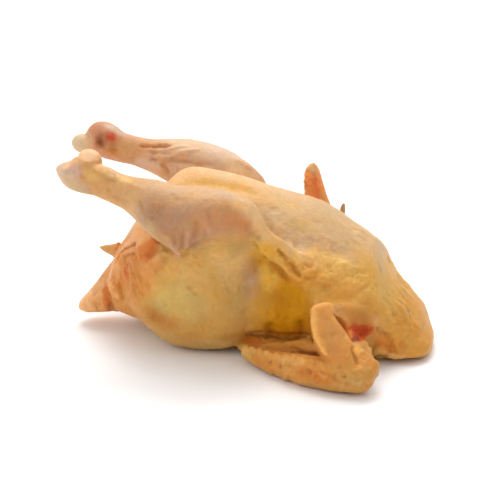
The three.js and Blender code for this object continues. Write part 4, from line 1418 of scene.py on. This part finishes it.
def skinMaterial():
    made, shader = newMaterial("yellowSkin", finish["skin"])
    nodes, links = made.node_tree.nodes, made.node_tree.links

    def addNode(kind, values=None, **feeds):
        # a node with its values, fed by other nodes' outputs
        node = nodes.new("ShaderNode" + kind)
        for socket, value in (values or {}).items():
            node.inputs[socket].default_value = value
        for socket, output in feeds.items():
            links.new(output, node.inputs[socket])
        return node

    tone = addNode("Attribute")
    tone.attribute_name = "skinTone"
    place = addNode("TexCoord").outputs["Object"]
    shades = []
    for layer in ("blotch", "speckle"):
        spots = addNode("TexNoise", finish[layer], Vector=place)
        shade = addNode("MapRange", finish["shadeRange"], Value=spots.outputs["Fac"])
        shades.append(shade.outputs["Result"])
    both = addNode("Math")
    both.operation = "MULTIPLY"
    links.new(shades[0], both.inputs[0])
    links.new(shades[1], both.inputs[1])
    tinted = addNode("VectorMath")
    tinted.operation = "SCALE"
    links.new(tone.outputs["Color"], tinted.inputs[0])
    links.new(both.outputs["Value"], tinted.inputs["Scale"])
    links.new(tinted.outputs["Vector"], shader.inputs["Base Color"])
    creases = addNode("TexNoise", finish["creases"], Vector=place)
    creased = addNode("Bump", finish["creaseBump"], Height=creases.outputs["Fac"])
    pores = addNode("TexVoronoi", finish["pores"], Vector=place)
    pores.feature = "F1"
    pitted = addNode("Bump", finish["poreBump"], Height=pores.outputs["Distance"],
                     Normal=creased.outputs["Normal"])
    pitted.invert = True
    links.new(pitted.outputs["Normal"], shader.inputs["Normal"])
    return made


print("shading")
chickenSkin.data.materials.clear()
chickenSkin.data.materials.append(skinMaterial())
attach(chickenSkin, "root")
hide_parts("chicken")


stage = {
    "floorSize": 14,
    "skyStrength": 0.68,
    # name: place, aim, size in metres, power
    "lamps": {
        "keyLight": ((-0.25, 0.45, 1.7), (0, 0, 0.05), 1.3, 12),
        "frontLight": ((-0.9, -1.6, 1.3), (0, 0, 0.05), 1.4, 8.5),
        "backLight": ((0, 2.6, 2.6), (0, 1.9, 0), 3.0, 75),
    },
}


def makeFloor():
    body = bmesh.new()
    bmesh.ops.create_grid(body, x_segments=1, y_segments=1, size=stage["floorSize"] / 2)
    floor = addPiece("floor", body)
    floor.data.materials.append(newMaterial("paleFloor", finish["floor"])[0])


def turnedTo(aim, place):
    # the turn that points a lamp or the camera at its aim
    return (Vector(place) - Vector(aim)).to_track_quat("Z", "Y").to_euler()


def areaLight(name, place, aim, size, power):
    lamp = bpy.data.lights.new(name, "AREA")
    lamp.shape = "DISK"
    lamp.size = size
    lamp.energy = power
    holder = bpy.data.objects.new(name, lamp)
    holder.location = place
    holder.rotation_euler = turnedTo(aim, place)
    bpy.context.scene.collection.objects.link(holder)


def makeSky():
    world = bpy.data.worlds.new("studio")
    world.use_nodes = True
    glow = world.node_tree.nodes["Background"].inputs
    glow["Color"].default_value = (1, 1, 1, 1)
    glow["Strength"].default_value = stage["skyStrength"]
    bpy.context.scene.world = world


def makeCamera():
    lens = bpy.data.cameras.new("camera")
    lens.lens = view["lens"]
    lens.sensor_width = view["sensor"]
    lens.shift_y = view["shiftUp"]
    lens.clip_end = view["farthest"]
    camera = bpy.data.objects.new("camera", lens)
    camera.location = toFrame(eyePlace())
    camera.rotation_euler = turnedTo(toFrame(view["target"]), toFrame(eyePlace()))
    bpy.context.scene.collection.objects.link(camera)
    bpy.context.scene.camera = camera


makeFloor()
makeSky()
for lampName, (lampPlace, aim, size, power) in stage["lamps"].items():
    areaLight(lampName, lampPlace, aim, size, power)
makeCamera()
bpy.context.scene.view_settings.view_transform = "Standard"
bpy.context.scene.view_settings.look = "None"
print("stage set")
